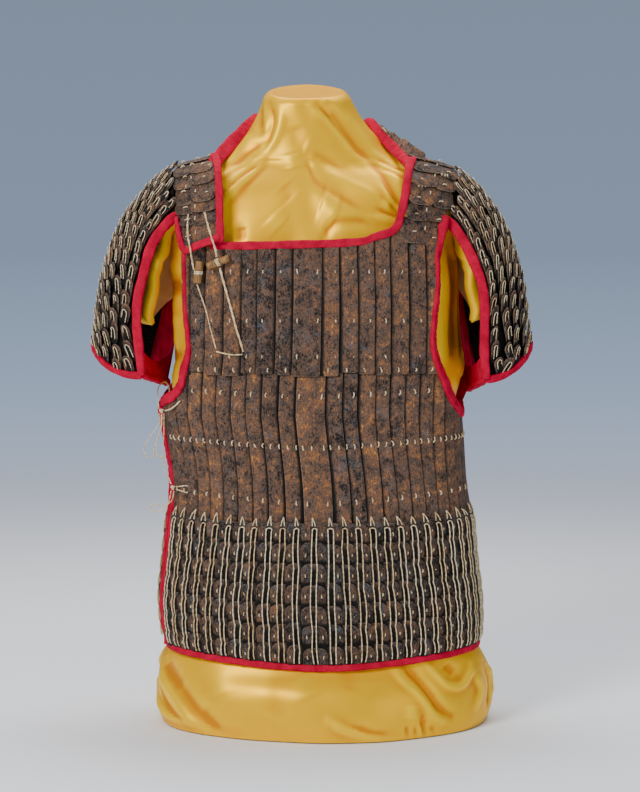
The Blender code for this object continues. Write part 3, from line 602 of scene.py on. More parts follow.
heights = np.array([0, 10, 22, 34, 48, 62, 78, 92, 120, 180, 262, 351, 430, 520, 600, 640, 664,
                    680, 692, 706, 730, 756, 784], float)
turns = np.arange(0, 360, 7.5)
shell = form(turns[None, :], heights[:, None], -4.5)
shell[0, :, 2] = 1.0
torso_board = build_mesh("torso_form_board", in_place(shell.reshape(-1, 3)),
                         tube_faces(len(heights), len(turns)), board)
settle(torso_board, "form_board", "torso_form")


# ---------------------------------------------------------------------------------------------
# The satin cover: golden yellow satin drawn over the form by hand, closed over the neck disc and
# tucked under the base. It is gathered at the neck's sides and pleated at the base's corners.

# Folds on the cover: height of the fold in mm, its width on each side, and its line as degrees
# round the form from the front and heights. Ridges are positive and troughs negative.
SATIN_FOLDS = (
    # wearer's right side of the neck, gathered to a knot above the shoulder
    (-2.4, 3.2, 3.2, [(-82, 772), (-67, 748), (-57, 726)]),
    (2, 3, 3, [(-74, 778), (-60, 752), (-60, 730)]),
    (-2.4, 2.6, 3, [(-60, 776), (-50, 756), (-52, 736), (-54, 716)]),
    (2.4, 4.5, 3.5, [(-40, 770), (-40, 748), (-46, 726), (-55, 703)]),
    (5.5, 6, 6, [(-56, 672), (-57, 640), (-56, 612), (-56, 597)]),
    (2.2, 2.8, 2.8, [(-56, 704), (-60, 682), (-60, 658)]),
    (-2.2, 2.4, 2.4, [(-55, 700), (-58, 676), (-58, 650)]),
    (2, 2.8, 2.8, [(-53, 701), (-55, 675), (-57, 645)]),
    (-2, 3, 4, [(-51, 700), (-52, 670), (-56, 634)]),
    (-2.6, 2.2, 2.2, [(-68, 670), (-58, 655)]),
    (-2.6, 2.2, 2.2, [(-66, 652), (-57, 640)]),
    (-2.4, 2.2, 2.2, [(-64, 638), (-56, 628)]),
    (-3.4, 4, 4.5, [(-62, 624), (-54, 608)]),
    (3.4, 4.5, 4.5, [(-71, 738), (-76, 715), (-73, 690)]),
    (-2.4, 3, 3, [(-60, 724), (-67, 706), (-66, 688)]),
    (1.8, 2.6, 2.6, [(-62, 700), (-66, 690), (-68, 676)]),
    # wearer's left side: two long folds from the front of the neck to the shoulder
    (2.4, 5, 4, [(10, 777), (32, 752), (47, 725), (56, 699)]),
    (-3.4, 3.4, 3.6, [(18, 779), (38, 756), (52, 728), (59, 702), (59, 690)]),
    (2.2, 3.2, 3.2, [(27, 778), (44, 753), (57, 723), (62, 700)]),
    (-3.4, 3, 4.2, [(33, 776), (48, 750), (59, 718), (64, 694)]),
    (2.4, 4, 4.5, [(56, 772), (65, 748), (68, 716), (68, 694)]),
    (-2.4, 2.6, 3, [(61, 692), (57, 670), (56, 652), (58, 640)]),
    (1.8, 2.6, 2.6, [(65, 688), (61, 668), (60, 648)]),
    (-1.8, 2.2, 2.2, [(63, 690), (68, 674)]),
    (1.4, 2, 2, [(64, 696), (69, 682)]),
    (-1.8, 2.2, 2.2, [(66, 702), (72, 686)]),
    (1.8, 3.5, 3.5, [(80, 742), (92, 716), (78, 692)]),
    (-1.6, 2.2, 2.2, [(67, 664), (61, 652)]),
    (-1.6, 2, 2, [(66, 656), (60, 645)]),
    # creases that run to the lower corner of the neckline
    (-2.2, 2, 2.2, [(57, 630), (50, 653)]),
    (1.8, 2.2, 2.2, [(57, 634), (54, 650), (53, 664)]),
    (-2.4, 2.2, 2.4, [(56, 627), (46, 640)]),
    (1.8, 2.6, 2.6, [(55, 623), (42, 632)]),
    (2.2, 3, 3, [(52, 651), (50, 640)]),
    # soft swells of the front
    (2.4, 11, 9, [(-24, 710), (-22, 688)]),
    (3.2, 12, 13, [(8, 650), (20, 632)]),
    (2.4, 10, 9, [(-31, 634), (-24, 618)]),
    (-2.2, 10, 10, [(-26, 672), (-18, 650)]),
    (-1.6, 9, 9, [(-22, 748), (-14, 726), (-2, 716)]),
    (-2.8, 5.5, 6.5, [(-6, 704), (4, 674), (24, 655), (43, 635)]),
    (2, 5, 5, [(12, 692), (26, 679), (41, 664), (49, 648)]),
    (-1.8, 5, 5, [(2, 708), (20, 702), (38, 690)]),
    (-2.4, 4, 4.5, [(8, 604), (17, 622), (33, 626), (43, 620)]),
    (-2.2, 3.5, 3.5, [(-47, 618), (-46, 600)]),
    # wearer's right corner of the base: the cloth is folded over itself
    (-3.6, 4.6, 6.5, [(-84, 90), (-74, 67), (-63, 46), (-54, 24), (-48, 9), (-42, 2)]),
    (3.6, 5, 3, [(-86, 74), (-78, 56), (-68, 36), (-60, 17), (-54, 6)]),
    (2.6, 6, 8, [(-70, 60), (-60, 43), (-53, 28)]),
    (3.8, 3.2, 3.2, [(-90, 84), (-95, 64), (-91, 44), (-85, 28), (-74, 15), (-60, 11)]),
    (-3.4, 3, 3.2, [(-86, 66), (-82, 46), (-74, 29), (-64, 17)]),
    (2.6, 2.6, 2.6, [(-82, 60), (-77, 44), (-70, 27), (-62, 18)]),
    (-5.5, 4.5, 4.5, [(-114, 57), (-99, 54), (-90, 60)]),
    (3.4, 8, 8, [(-103, 78), (-99, 70)]),
    (3.4, 8, 8, [(-104, 36), (-99, 26)]),
    (2.2, 5, 5, [(-82, 86), (-78, 74)]),
    (-1.6, 9, 12, [(-25, 86), (-22, 56), (-25, 30)]),
    (1.4, 8, 8, [(-51, 84), (-47, 50)]),
    (1.6, 10, 10, [(-12, 80), (-8, 52)]),
    (-1.4, 9, 9, [(14, 84), (12, 60)]),
    # wearer's left corner of the base
    (3.2, 4.5, 3.6, [(38, 87), (40, 70), (43, 57), (46, 44), (49, 29), (53, 18)]),
    (-3.8, 3.2, 4.2, [(43, 87), (46, 69), (49, 52), (52, 36), (57, 24)]),
    (3, 3, 3, [(52, 88), (55, 72), (58, 60), (64, 56), (69, 66), (72, 80)]),
    (-2.6, 4, 4, [(60, 84), (63, 72)]),
    (2.4, 6, 5, [(40, 44), (39, 24)]),
    (-2.8, 1.8, 1.8, [(37, 17), (38, 1)]),
    (-2.6, 1.8, 1.8, [(41, 15), (42, 1)]),
    (-3.8, 2, 2.4, [(44, 26), (46, 1)]),
    (-2.4, 1.8, 1.8, [(48, 15), (50, 1)]),
    (1.8, 1.6, 1.6, [(43, 16), (44, 1)]),
    (3, 4, 3.5, [(2, 28), (12, 13), (22, 5), (32, 2)]),
    (-2.4, 3.5, 3.5, [(14, 20), (22, 11), (30, 8)]),
    (3.2, 3.6, 3.6, [(73, 68), (75, 46), (71, 26)]),
    (-4.4, 2.8, 2.8, [(82, 74), (84, 46), (80, 22)]),
    (4.6, 3, 3, [(88, 70), (90, 46), (87, 26)]),
    (-4.4, 2.8, 2.8, [(94, 66), (95, 46), (92, 30)]),
    (3, 3.4, 3.4, [(100, 72), (101, 46), (99, 24)]),
    # loose cloth at the armholes
    (2.8, 9, 9, [(-80, 512), (-78, 488), (-82, 466)]),
    (2.4, 9, 9, [(-84, 440), (-80, 420)]),
    (2.4, 7, 7, [(-80, 582), (-81, 562)]),
    (-4, 7, 7, [(-70, 548), (-98, 536)]),
    (-5, 9, 9, [(-87, 596), (-89, 520), (-88, 440)]),
    (-3.6, 5, 5, [(-76, 462), (-98, 452)]),
    (4, 7, 7, [(84, 456), (79, 434)]),
    (-3, 3.6, 3.6, [(73, 592), (76, 520), (73, 462)]),
    (2.6, 3.4, 3.4, [(78, 590), (79, 520), (78, 450)]),
    (-3, 3.6, 3.6, [(83, 594), (82, 530), (84, 470)]),
    (2.8, 5, 5, [(67, 572), (69, 486), (66, 432)]),
    (3.2, 8, 8, [(90, 470), (86, 430)]),
)


def fold_height(degrees, height, reach, folds):
    """Sum of the folds at points of a surface; reach is the surface's radius in mm."""
    total = np.zeros_like(degrees)
    arc = np.radians(reach)
    for rise, before, after, line in folds:
        line = smooth_route([(a, h, 0) for a, h in line], 4.0)[:, :2]
        nearest = np.full(degrees.shape, 1e9)
        share = np.zeros_like(degrees)
        side = np.ones_like(degrees)
        for k, ((a, h), (b, g)) in enumerate(zip(line, line[1:])):
            dx, dy = (degrees - a) * arc, height - h
            ex, ey = (b - a) * arc, g - h
            t = np.clip((dx * ex + dy * ey) / (ex * ex + ey * ey + 1e-9), 0, 1)
            gap = np.hypot(dx - t * ex, dy - t * ey)
            better = gap < nearest
            nearest = np.where(better, gap, nearest)
            share = np.where(better, (k + t) / (len(line) - 1), share)
            side = np.where(better, np.sign(dx - t * ex), side)
        width = 1.55 * np.where(side < 0, before, after)
        fade = np.clip(np.minimum(share, 1 - share) / 0.22, 0, 1)
        fade = 0.35 + 0.65 * fade * fade * (3 - 2 * fade)
        rise *= 0.8 if abs(rise) < 3 else 1.0  # the small ones are softened
        total += rise * fade * np.exp(-(nearest / width) ** 2)
    return total


# The cloth hangs fuller than the form round the base: height, how much at the sides, in front
FULLER = np.array([(0, 13, 23), (10, 3, 13), (34, 0, 9), (62, 4, 11), (78, 12, 10), (92, 10, 2),
                   (106, 0, 0), (784, 0, 0)], float)


def tension(degrees, height):
    """Slight unevenness of hand-drawn cloth, in mm."""
    turn = np.radians(degrees)
    return (1.3 * np.sin(3 * turn + height / 34) + 1.1 * np.sin(5 * turn - height / 23 + 1)
            + 0.5 * np.sin(11 * turn + height / 19 + 2))


satin, tree, principled = new_material("yellow_satin", 0.40, 0.32, Specular_IOR_Level=0.5,
                                       Specular_Tint=(1.0, 0.78, 0.10, 1.0))
here = own_place(tree)
# painted light: the mesh's number is low where shade is painted and high where highlight is painted
painted_light = mark_on(tree, "painted_light")
cloth_shade = noise(tree, here, 22, 2.0)
base = ramp(tree, painted_light, (0.0, (0.16, 0.035, 0.004)), (0.14, (0.72, 0.25, 0.0)),
            (0.34, (0.86, 0.41, 0.0)), (0.52, (0.93, 0.50, 0.0)), (0.80, (1.0, 0.60, 0.004)))
drift = ramp(tree, cloth_shade, (0.3, 0.93), (0.7, 1.0))
tree.links.new(blend(tree, 1.0, base, drift, "MULTIPLY"), principled.inputs["Base Color"])
weave = noise(tree, add_node(tree, "Mapping", {"Vector": here, "Scale": (1, 1, 0.12)}).outputs[0],
              2600, 1.0)
bump(tree, principled, weave, 0.10, 0.00015)

turns = np.concatenate([np.arange(-110, 110, 0.9), np.arange(110, 250, 2.5)])
heights = np.concatenate([np.arange(1.3, 100, 2.3), np.arange(100, 396, 18), np.arange(396, 600, 5),
                          np.arange(600, 783.5, 1.9), [784.0]])
angle, level = np.meshgrid(turns, heights)
radius = np.interp(heights, FORM[:, 0], (FORM[:, 2] - FORM[:, 3]) / 2)[:, None]
front_folds = fold_height(angle, level, radius, SATIN_FOLDS)
# The back is folded in the same way, turned through half a circle. Folds that start at the
# sides are left out there, and front and back blend into each other past the sides.
behind = np.mod(angle, 360) - 180
back_folds = fold_height(behind * 0.96 + 2, level, radius,
                         [fold for fold in SATIN_FOLDS if abs(fold[3][0][0]) < 76])
from_front = np.where(angle > 180, 360 - angle, np.abs(angle))
near_front = 1 / (1 + np.exp((from_front - 112) / 4))
folds = near_front * front_folds + (1 - near_front) * back_folds
folds *= np.clip((level - 1) / 14, 0.25, 1)
under_coat = np.clip(np.minimum(level - 104, 392 - level) / 12, 0, 1)  # the coat presses it flat
folds *= 1 - under_coat
wide, deep = np.moveaxis(along(FULLER, level), -1, 0)
facing = np.cos(np.radians(angle))
deep = np.where(facing > 0, deep, 0.4 * deep)
fuller = np.maximum(wide * (1 - facing ** 2) + deep * facing ** 2, 0)
edge = -2.6 * np.clip((level - 777) / 7, 0, 1) ** 2  # the neck's rim is softly rounded
pulled = tension(angle, level) * np.where(level > 700, 0.5, 1.0) * (1 - 0.7 * under_coat)
out = 2.3 + fuller + edge + folds + pulled
cover = form(angle, level, np.maximum(out, -0.6))
rings = [cover.reshape(-1, 3)]
disc = cover[-1]
centre = disc.mean(axis=0)
NECK_DISC = ((0.97, 0.9), (0.93, 1.5), (0.88, 1.6), (0.82, 1.3), (0.78, 1.0),
             (0.74, 1.0), (0.55, 0.9), (0.35, 0.8), (0.15, 0.8), (0.01, 0.8))  # ring's size, rise
for shrink, lift in NECK_DISC:
    ring = centre + (disc - centre) * shrink
    ring[:, 2] += lift + 0.35 * np.sin(ring[:, 0] / 17 + 1) * (1 - shrink) * 3
    rings.append(ring)
points = np.vstack(rings)
soft = folds.copy()
for _ in range(10):
    soft[:, 1:-1] = (soft[:, :-2] + soft[:, 2:] + 2 * soft[:, 1:-1]) / 4
    soft[1:-1] = (soft[:-2] + soft[2:] + 2 * soft[1:-1]) / 4
# painted shade in the troughs of the folds and painted highlight on their ridges
painted_light = np.clip(0.5 + (folds - soft) * 0.5 + folds * 0.035, 0.14, 1)
# painted shade inside the armholes, darker on the wearer's left
armhole_shade = (np.clip((np.abs(angle) - 66) / 10, 0, 1) * np.clip((112 - np.abs(angle)) / 10, 0, 1)
          * np.clip(np.minimum(level - 440, 606 - level) / 30, 0, 1))
painted_light *= 1 - np.where(angle > 0, 0.9, 0.3) * armhole_shade
# the top of the neck disc gets painted shade, against the overhead lamp
painted_light = np.concatenate([painted_light.ravel(), np.full(len(NECK_DISC) * len(turns), 0.30)])
faces = grid_faces(len(heights) + len(NECK_DISC), len(turns), around=True)
cover_cloth = build_mesh("satin_cover_drawn", in_place(points), faces, satin, {"painted_light": painted_light},
                         angle=75)
settle(cover_cloth, "satin", "satin_cover")


# ---------------------------------------------------------------------------------------------
# Chest scales, front: one row of long upright iron scales laced edge to edge. The wide centre
# scale lies on top, and each of the others lies under the next one inwards.

# Outer face of the coat: height, wearer's right, wearer's left, front, back, squareness
COAT = np.array([
    (80, -187, 198, -119, 113, 2.4),
    (126, -194, 202, -119, 115, 2.4),
    (160, -196, 201, -118, 115, 2.4),
    (200, -192, 196, -114, 112, 2.4),
    (262, -186, 190, -108, 108, 2.4),
    (301, -183, 184, -105, 105, 2.5),
    (351, -190, 181, -103, 104, 2.6),
    (390, -196, 179, -103, 104, 2.8),
    (440, -193, 180, -103, 104, 2.9),
    (500, -192, 181, -103, 105, 3.0),
    (600, -198, 186, -99, 101, 3.0),
], float)
# Edges of the armholes: height, degrees round the body from the front
RIGHT_ARMHOLE = np.array([
    (402, 78), (408, 71), (422, 65), (436, 63.8), (449, 62.4),
    (462, 61.2), (482, 61.6), (508, 62.8), (540, 63.2), (600, 63.4),
], float)
LEFT_ARMHOLE = np.array([
    (390, 79), (398, 74.5), (408, 70.5), (426, 66.6), (443, 63.3),
    (459, 61.3), (475, 60.4), (508, 60.6), (540, 61.7), (600, 61.9),
], float)


def coat(degrees, height, out=0.0):
    """A point of the coat's outer face."""
    degrees, height, out = np.broadcast_arrays(degrees, height, np.asarray(out, float))
    right, left, front, back, power = np.moveaxis(along(COAT, height), -1, 0)
    turn = np.radians(degrees)
    reach = section((left - right) / 2 + out, np.where(np.cos(turn) > 0, -front, back) + out,
                    power, turn)
    return np.stack([(left + right) / 2 + reach * np.sin(turn), -reach * np.cos(turn), height], -1)


def forge(width, length, foot_round, head_round, cuts, slices, thickness, rim):
    """One flat iron scale, standing on z 0, hammered from a plate: points in mm, faces, rim.

    The plate's corners are cut round, it is cut into strips so that it can bend, and its rim is
    beaten back. x runs across, y into the coat.
    """
    bpy.ops.object.select_all(action="DESELECT")
    bpy.ops.mesh.primitive_plane_add(size=1, rotation=(math.pi / 2, 0, 0))
    plate = bpy.context.object
    plate.scale = (width, length, 1)
    plate.location = (0, 0, length / 2)
    bpy.ops.object.transform_apply(location=True, rotation=True, scale=True)
    for at_foot, radius in ((True, foot_round), (False, head_round)):
        if radius:
            bpy.ops.object.mode_set(mode="EDIT")
            bpy.ops.mesh.select_all(action="DESELECT")
            bpy.ops.mesh.select_mode(type="VERT")
            bpy.ops.object.mode_set(mode="OBJECT")
            for vert in plate.data.vertices:
                vert.select = (vert.co.z < 1e-4) if at_foot else (vert.co.z > length - 1e-4)
            bpy.ops.object.mode_set(mode="EDIT")
            bpy.ops.mesh.bevel(offset=radius, segments=3 if radius > 4 else 2, affect="VERTICES")
            bpy.ops.object.mode_set(mode="OBJECT")
    bpy.ops.object.mode_set(mode="EDIT")
    for place in cuts:
        bpy.ops.mesh.select_all(action="SELECT")
        bpy.ops.mesh.bisect(plane_co=(place * width, 0, 0), plane_no=(1, 0, 0))
    for place in slices:
        bpy.ops.mesh.select_all(action="SELECT")
        bpy.ops.mesh.bisect(plane_co=(0, 0, place * length), plane_no=(0, 0, 1))
    bpy.ops.mesh.select_all(action="SELECT")
    bpy.ops.mesh.extrude_region_move(TRANSFORM_OT_translate={"value": (0, -thickness, 0)})
    bpy.ops.object.mode_set(mode="OBJECT")
    shape = bmesh.new()
    shape.from_mesh(plate.data)
    bmesh.ops.recalc_face_normals(shape, faces=shape.faces)
    front = [f for f in shape.faces if f.normal.y < -0.9]
    bmesh.ops.inset_region(shape, faces=front, thickness=rim, use_boundary=True,
                           use_even_offset=True)
    shape.verts.ensure_lookup_table()
    inner = {v for f in front for v in f.verts}
    points, marks = [], []
    for vert in shape.verts:
        on_front = vert.co.y < -thickness / 2
        at_rim = on_front and vert not in inner
        points.append((vert.co.x, vert.co.y + (0.45 * thickness if at_rim else 0), vert.co.z))
        marks.append(1.0 if at_rim or not on_front else 0.0)
    faces = [tuple(v.index for v in f.verts) for f in shape.faces]
    shape.free()
    mesh = plate.data
    bpy.data.objects.remove(plate)
    bpy.data.meshes.remove(mesh)
    return np.array(points), faces, np.array(marks)


def lay_scales(name, scale, put, widths, lengths, feet, leans, material, tones, crown=0.7,
               groove=(0.38, 0.60), sunk=1.9, head_out=0.0, uneven=1.0, hidden=0.0,
               inside=(0, 0.3), seed=1):
    """Copies of one scale, each with its own mesh part, put on the coat and joined.

    widths, lengths and feet are in mm, one a scale; leans is how far the edge at +x stands out
    over the middle. The other edge dips under its neighbour by sunk, from the first to the
    second share of the half width in groove, and gets painted shade there. crown is how far the
    middle bulges and head_out how far the head stands out. The foot is covered up to the share
    hidden and gets painted shade there, and inside says how dark and how wide the painted shade
    is below the head. tones are the iron's darkest and palest.
    put(x, z, out) turns lengths across, heights and outward distances to places.
    """
    draw = np.random.default_rng(seed)
    count = len(widths)

    def each(spread):
        return draw.normal(0, spread * uneven, (count, 1))

    points, faces, marks = scale
    x, out, z = points.T
    half, tall = np.abs(x).max(), z.max()
    x, z, out = x[None] / half / 2, z[None] / tall, -out[None]
    across = x * (np.asarray(widths)[:, None] * (1 + each(0.015)))
    height = np.asarray(feet)[:, None] + each(0.6)
    height = height + z * (np.asarray(lengths)[:, None] + each(0.6))
    across = across + (z - 0.5) * each(0.8)
    leans = np.asarray(leans, float)[:, None]
    lap = np.clip((-2 * x * np.sign(leans) - groove[0]) / (groove[1] - groove[0]), 0, 1)
    out = (out + crown * (1 - 4 * x * x) + 2 * x * (leans + each(0.15)) - sunk * lap * lap
           + each(0.18) + each(0.25) * np.sin(math.pi * z) + head_out * z)
    placed = put(across, height, out)
    low, high = tones
    tone = np.repeat(low + (high - low) * draw.random(count), len(marks))
    shift = np.arange(count) * len(marks)
    joined = [tuple(n + s for n in face) for s in shift for face in faces]
    # painted shade: in the laps, over the covered foot and in a strip below the head
    shade_below_head = inside[0] * np.clip((0.82 - z) / 0.12, 0, 1) * (np.abs(x) < inside[1])
    painted_shade = np.maximum(lap, np.maximum(np.clip((hidden - z) / 0.10, 0, 0.85), shade_below_head))
    return build_mesh(name, in_place(placed.reshape(-1, 3)), joined, material,
                      {"tone": tone, "rim": np.tile(marks, count), "painted_shade": painted_shade}, angle=48)


def iron_material():
    """Old iron: brown rust with orange specks, blue-grey where bare, pitted, and painted shade."""
    made, tree, principled = new_material("old_iron", 0.6, 0.5, Specular_IOR_Level=0.28)
    here = own_place(tree)
    tone = mark_on(tree, "tone")
    rim = mark_on(tree, "rim")
    aside = {0: here, 1: (0.37, 0.11, 0.53)}
    moved = add_node(tree, "VectorMath", aside, operation="ADD").outputs[0]
    grain = add_node(tree, "Mapping", {"Vector": here, "Scale": (1, 1, 0.62)}).outputs[0]
    speck = noise(tree, grain, 500, 6.0, 0.76, 1.0)
    patch = noise(tree, moved, 75, 4.0, 0.62, 0.6)
    fine = noise(tree, here, 1500, 2.0)
    cells = add_node(tree, "TexVoronoi", {"Vector": here, "Scale": 520.0}, feature="F1")
    rust = sum_up(tree, "ADD", sum_up(tree, "MULTIPLY", speck, 1.42),
                  sum_up(tree, "MULTIPLY", patch, 0.70))
    rust = sum_up(tree, "MULTIPLY_ADD", tone, 0.125, sum_up(tree, "ADD", rust, -0.608))
    colour = ramp(tree, rust, (0.30, (0.003, 0.003, 0.003)), (0.375, (0.018, 0.012, 0.010)),
                  (0.445, (0.084, 0.052, 0.037)), (0.57, (0.142, 0.084, 0.057)),
                  (0.635, (0.185, 0.094, 0.052)), (0.68, (0.30, 0.105, 0.033)),
                  (0.74, (0.40, 0.155, 0.038)), (0.83, (0.66, 0.38, 0.11)))
    flake = noise(tree, moved, 620, 4.0, 0.72, 0.5)
    field = noise(tree, moved, 60, 3.0, 0.6)
    mixed = sum_up(tree, "MULTIPLY_ADD", tone, -0.05, sum_up(
        tree, "MULTIPLY_ADD", flake, 0.95, sum_up(tree, "MULTIPLY", field, 0.55)))
    bare = ramp(tree, mixed, (0.815, 0.0), (0.90, 1.0))
    steel = ramp(tree, fine, (0.3, (0.030, 0.040, 0.050)), (0.7, (0.19, 0.235, 0.28)))
    colour = blend(tree, sum_up(tree, "MULTIPLY", bare, 0.72), colour, steel)
    worn = sum_up(tree, "MULTIPLY", rim, ramp(tree, speck, (0.40, 0.1), (0.58, 0.75)))
    colour = blend(tree, worn, colour, (0.30, 0.235, 0.17))
    # painted shade: near black in the laps, over covered feet and below the heads
    painted_shade = mark_on(tree, "painted_shade")
    colour = blend(tree, ramp(tree, painted_shade, (0.05, 0.0), (0.6, 0.97)), colour, (0.004, 0.003, 0.003))
    tree.links.new(colour, principled.inputs["Base Color"])
    tree.links.new(ramp(tree, bare, (0.0, 0.72), (1.0, 0.40)), principled.inputs["Roughness"])
    tree.links.new(ramp(tree, bare, (0.0, 0.25), (1.0, 0.80)), principled.inputs["Metallic"])
    hole = ramp(tree, cells.outputs["Distance"], (0.05, 0.0), (0.35, 1.0))
    level = sum_up(tree, "ADD", sum_up(tree, "MULTIPLY", speck, 1.4),
                   sum_up(tree, "MULTIPLY", fine, 0.35))
    bump(tree, principled, sum_up(tree, "MULTIPLY_ADD", hole, 0.22, level), 0.85, 0.0009)
    return made


def lay_stitches(name, places, put, material, length=5.0, thick=1.75, seed=5, cross=False):
    """Small bound stitches, upright unless cross; places are what put takes: x, z and out."""
    draw = np.random.default_rng(seed)
    places = np.asarray(places, float)
    size = length * draw.uniform(0.85, 1.15, len(places))
    lean = draw.normal(0, 0.06, len(places)) + (math.pi / 2 if cross else 0)
    rows = []
    for step, sunk in ((-0.5, 0.9), (-0.32, 0.12), (0, 0), (0.32, 0.12), (0.5, 0.9)):
        rows.append(put(places[:, 0] + np.sin(lean) * step * size,
                        places[:, 1] + np.cos(lean) * step * size, places[:, 2] - sunk * thick))
    return lay_cords(name, list(np.stack(rows, axis=1)), thick, material, sides=6, step=0.62,
                     seed=seed)


iron = iron_material()
CHEST_FOOT, CHEST_MIDDLE, CHEST_HEAD = 440.5, 504, 593.0
CHEST_LACING = (563.8, 504.9, 461.6)  # heights of the stitches over the scale edges
CENTRE_SCALE, CENTRE_WIDTH = -12.6, 33.5  # its x and its width
RIGHT_EDGES = (-28.8, -49, -71, -90, -111, -133)  # x of the scale edges at the chest's middle
LEFT_EDGES = (3.6, 25, 47, 67, 86.5, 108, 129)
CHEST_PITCH, CHEST_OVERLAP = 21, 4.0
# Where the heads end under the neck tape: x, height
NECK_LINE = np.array([(30, 593.5), (50, 596), (62, 600), (72, 605), (87, 612), (98, 616)])
FOOT_LACING = 446.0
LONG_CUTS = (-0.37, -0.28, -0.12, 0.12, 0.28, 0.37)


def edge_lengths(height, inner, pitch, limit):
    """Lengths round the coat to scale edges: those at the given x, then evenly to the limit."""
    degrees = np.linspace(0, limit, 1441)
    points = coat(degrees, height)
    arc = running_length(points)
    side = np.sign(limit)
    rising = np.abs(degrees) < 58
    known = np.interp(np.asarray(inner) * side, points[rising, 0] * side, arc[rising])
    more = np.arange(known[-1] + pitch, arc[-1] + 0.4 * pitch, pitch)
    return np.concatenate([known, np.minimum(more, arc[-1])]), arc, degrees


def turned_to(x, height):
    """Degrees round the front of the coat where it reaches x."""
    degrees = np.linspace(-60, 60, 481)
    return float(np.interp(x, coat(degrees, height)[:, 0], degrees))


def scale_row(height, inner_right, inner_left, pitch, limits, overlap, lean=1.3):
    """Middles in degrees, widths and leans of a row of scales laid outwards from a centre one."""
    middles, widths, leans, edges = [], [], [], []
    for side, inner, limit in ((-1, inner_right, limits[0]), (1, inner_left, limits[1])):
        lengths, arc, degrees = edge_lengths(height, inner, pitch, limit)
        wide = np.diff(lengths) + overlap
        middles += list(np.interp(lengths[1:] - wide / 2, arc, degrees))
        widths += list(wide)
        leans += [side * lean] * len(wide)
        edges += list(np.interp(lengths, arc, degrees))
    return np.array(middles), np.array(widths), np.array(leans), np.array(edges)


def one_degree(degrees, height):
    """Length of one degree round the coat, in mm."""
    return np.linalg.norm(coat(degrees + 0.5, height) - coat(degrees - 0.5, height), axis=-1)


def on_coat(middles, low, high):
    """Puts scales on the coat with their middles at the given degrees, kept between two edges."""
    middles = np.asarray(middles, float)[:, None]

    def put(x, z, out):
        degrees = middles + x / one_degree(middles, z)
        return coat(np.clip(degrees, low(z), high(z)), z, out)
    return put


def right_edge(height):
    """Degrees round the body where the chest scales end at the wearer's right armhole."""
    return -0.7 - along(RIGHT_ARMHOLE, height)[..., 0]


def left_edge(height):
    """The same at the wearer's left armhole."""
    return along(LEFT_ARMHOLE, height)[..., 0] - 0.9


middles, widths, leans, edges = scale_row(CHEST_MIDDLE, RIGHT_EDGES, LEFT_EDGES, CHEST_PITCH,
                                          (-66, 62.5), CHEST_OVERLAP)
long_scale = forge(24, 152, 2.6, 0, LONG_CUTS, (0.16, 0.33, 0.5, 0.66, 0.83), 1.2, 0.7)
put = on_coat(np.append(middles, turned_to(CENTRE_SCALE, CHEST_MIDDLE)), right_edge, left_edge)
draw = np.random.default_rng(11)
feet = CHEST_FOOT + draw.uniform(-2.4, 2.6, len(middles) + 1)
# Those at the wearer's left are cut longer, to reach the strap.
risen = np.where(np.append(middles, 0.0) > 15, 24.0, 0.5)


def put_chest(x, z, out):
    """Heads end under the neck tape, which rises to the wearer's left strap; feet stand off."""
    at = put(x, np.full(z.shape, CHEST_HEAD - 3), out)[..., 0]
    top = np.interp(at, NECK_LINE[:, 0], NECK_LINE[:, 1])
    return put(x, np.minimum(z, top), out + 2.0 * np.clip((460 - z) / 20, 0, 1))


chest = lay_scales("chest_front_scales", long_scale, put_chest, np.append(widths, CENTRE_WIDTH),
                   CHEST_HEAD + risen - feet, feet, np.append(leans, 0.0), iron, (0.1, 1.0),
                   seed=12)
settle(chest, "rusted_iron", "chest_front")

marks = []  # degrees, height, outward distance
for edge in edges:
    for height in CHEST_LACING:
        if right_edge(height) + 1 < edge < left_edge(height) - 1:
            inner = 2.2 if edge > 0 else -2.2
            marks.append((edge - inner if abs(edge) > 1 else edge + 2.0, height, 2.4))
for middle in middles:
    if right_edge(FOOT_LACING) + 2 < middle < left_edge(FOOT_LACING) - 2:
        marks.append((middle, FOOT_LACING - 0.4, 4.0))
chest_stitches = lay_stitches("chest_front_stitches", marks, coat, hemp, seed=21)
settle(chest_stitches, "cord", "chest_front")


# ---------------------------------------------------------------------------------------------
# Chest scales, back: the same long iron scales behind, laced edge to edge from armhole to
# armhole, with a wide middle scale of their own on top.

# Edge of the armholes behind: height, degrees round the body from the front
BACK_EDGE = np.array([
    (393, 88), (400, 96), (412, 105), (430, 112), (450, 116), (480, 117.5), (540, 117.5),
    (600, 116),
], float)
BACK_HEAD, BACK_CENTRE_WIDTH = 605, 38


def back_low(height):
    """Degrees round the body where the back scales start, behind the wearer's left arm."""
    return along(BACK_EDGE, height)[..., 0] + 1.8


middles, widths, leans, edges = scale_row(CHEST_MIDDLE, (-23,), (11,), CHEST_PITCH, (-62, 62),
                                          CHEST_OVERLAP)
draw = np.random.default_rng(31)
feet = CHEST_FOOT + draw.uniform(-2.4, 2.6, len(middles) + 1)
put = on_coat(np.append(middles, 0) + 180, back_low, lambda z: 360 - back_low(z))
back = lay_scales("chest_back_scales", long_scale,
                  lambda x, z, out: put(x, np.minimum(z, BACK_HEAD - 2), out),
                  np.append(widths, BACK_CENTRE_WIDTH), BACK_HEAD - feet, feet,
                  np.append(leans, 0.0), iron, (0.35, 0.75), seed=32)
settle(back, "rusted_iron", "chest_back")
marks = [(180 + edge - np.sign(edge) * 1.6, height, 2.4) for edge in edges
         for height in CHEST_LACING if abs(edge) < 60]
marks += [(180 + middle, FOOT_LACING, 2.2) for middle in middles if abs(middle) < 58]
back_stitches = lay_stitches("chest_back_stitches", marks, coat, hemp, seed=33)
settle(back_stitches, "cord", "chest_back")


# ---------------------------------------------------------------------------------------------
# Waist scales: one row of long upright iron scales right round from one edge of the side opening
# to the other. Their heads are laced under the chest scales and cut down round the armholes.

OPENING_FRONT, OPENING_BACK = -78.0, 274.0
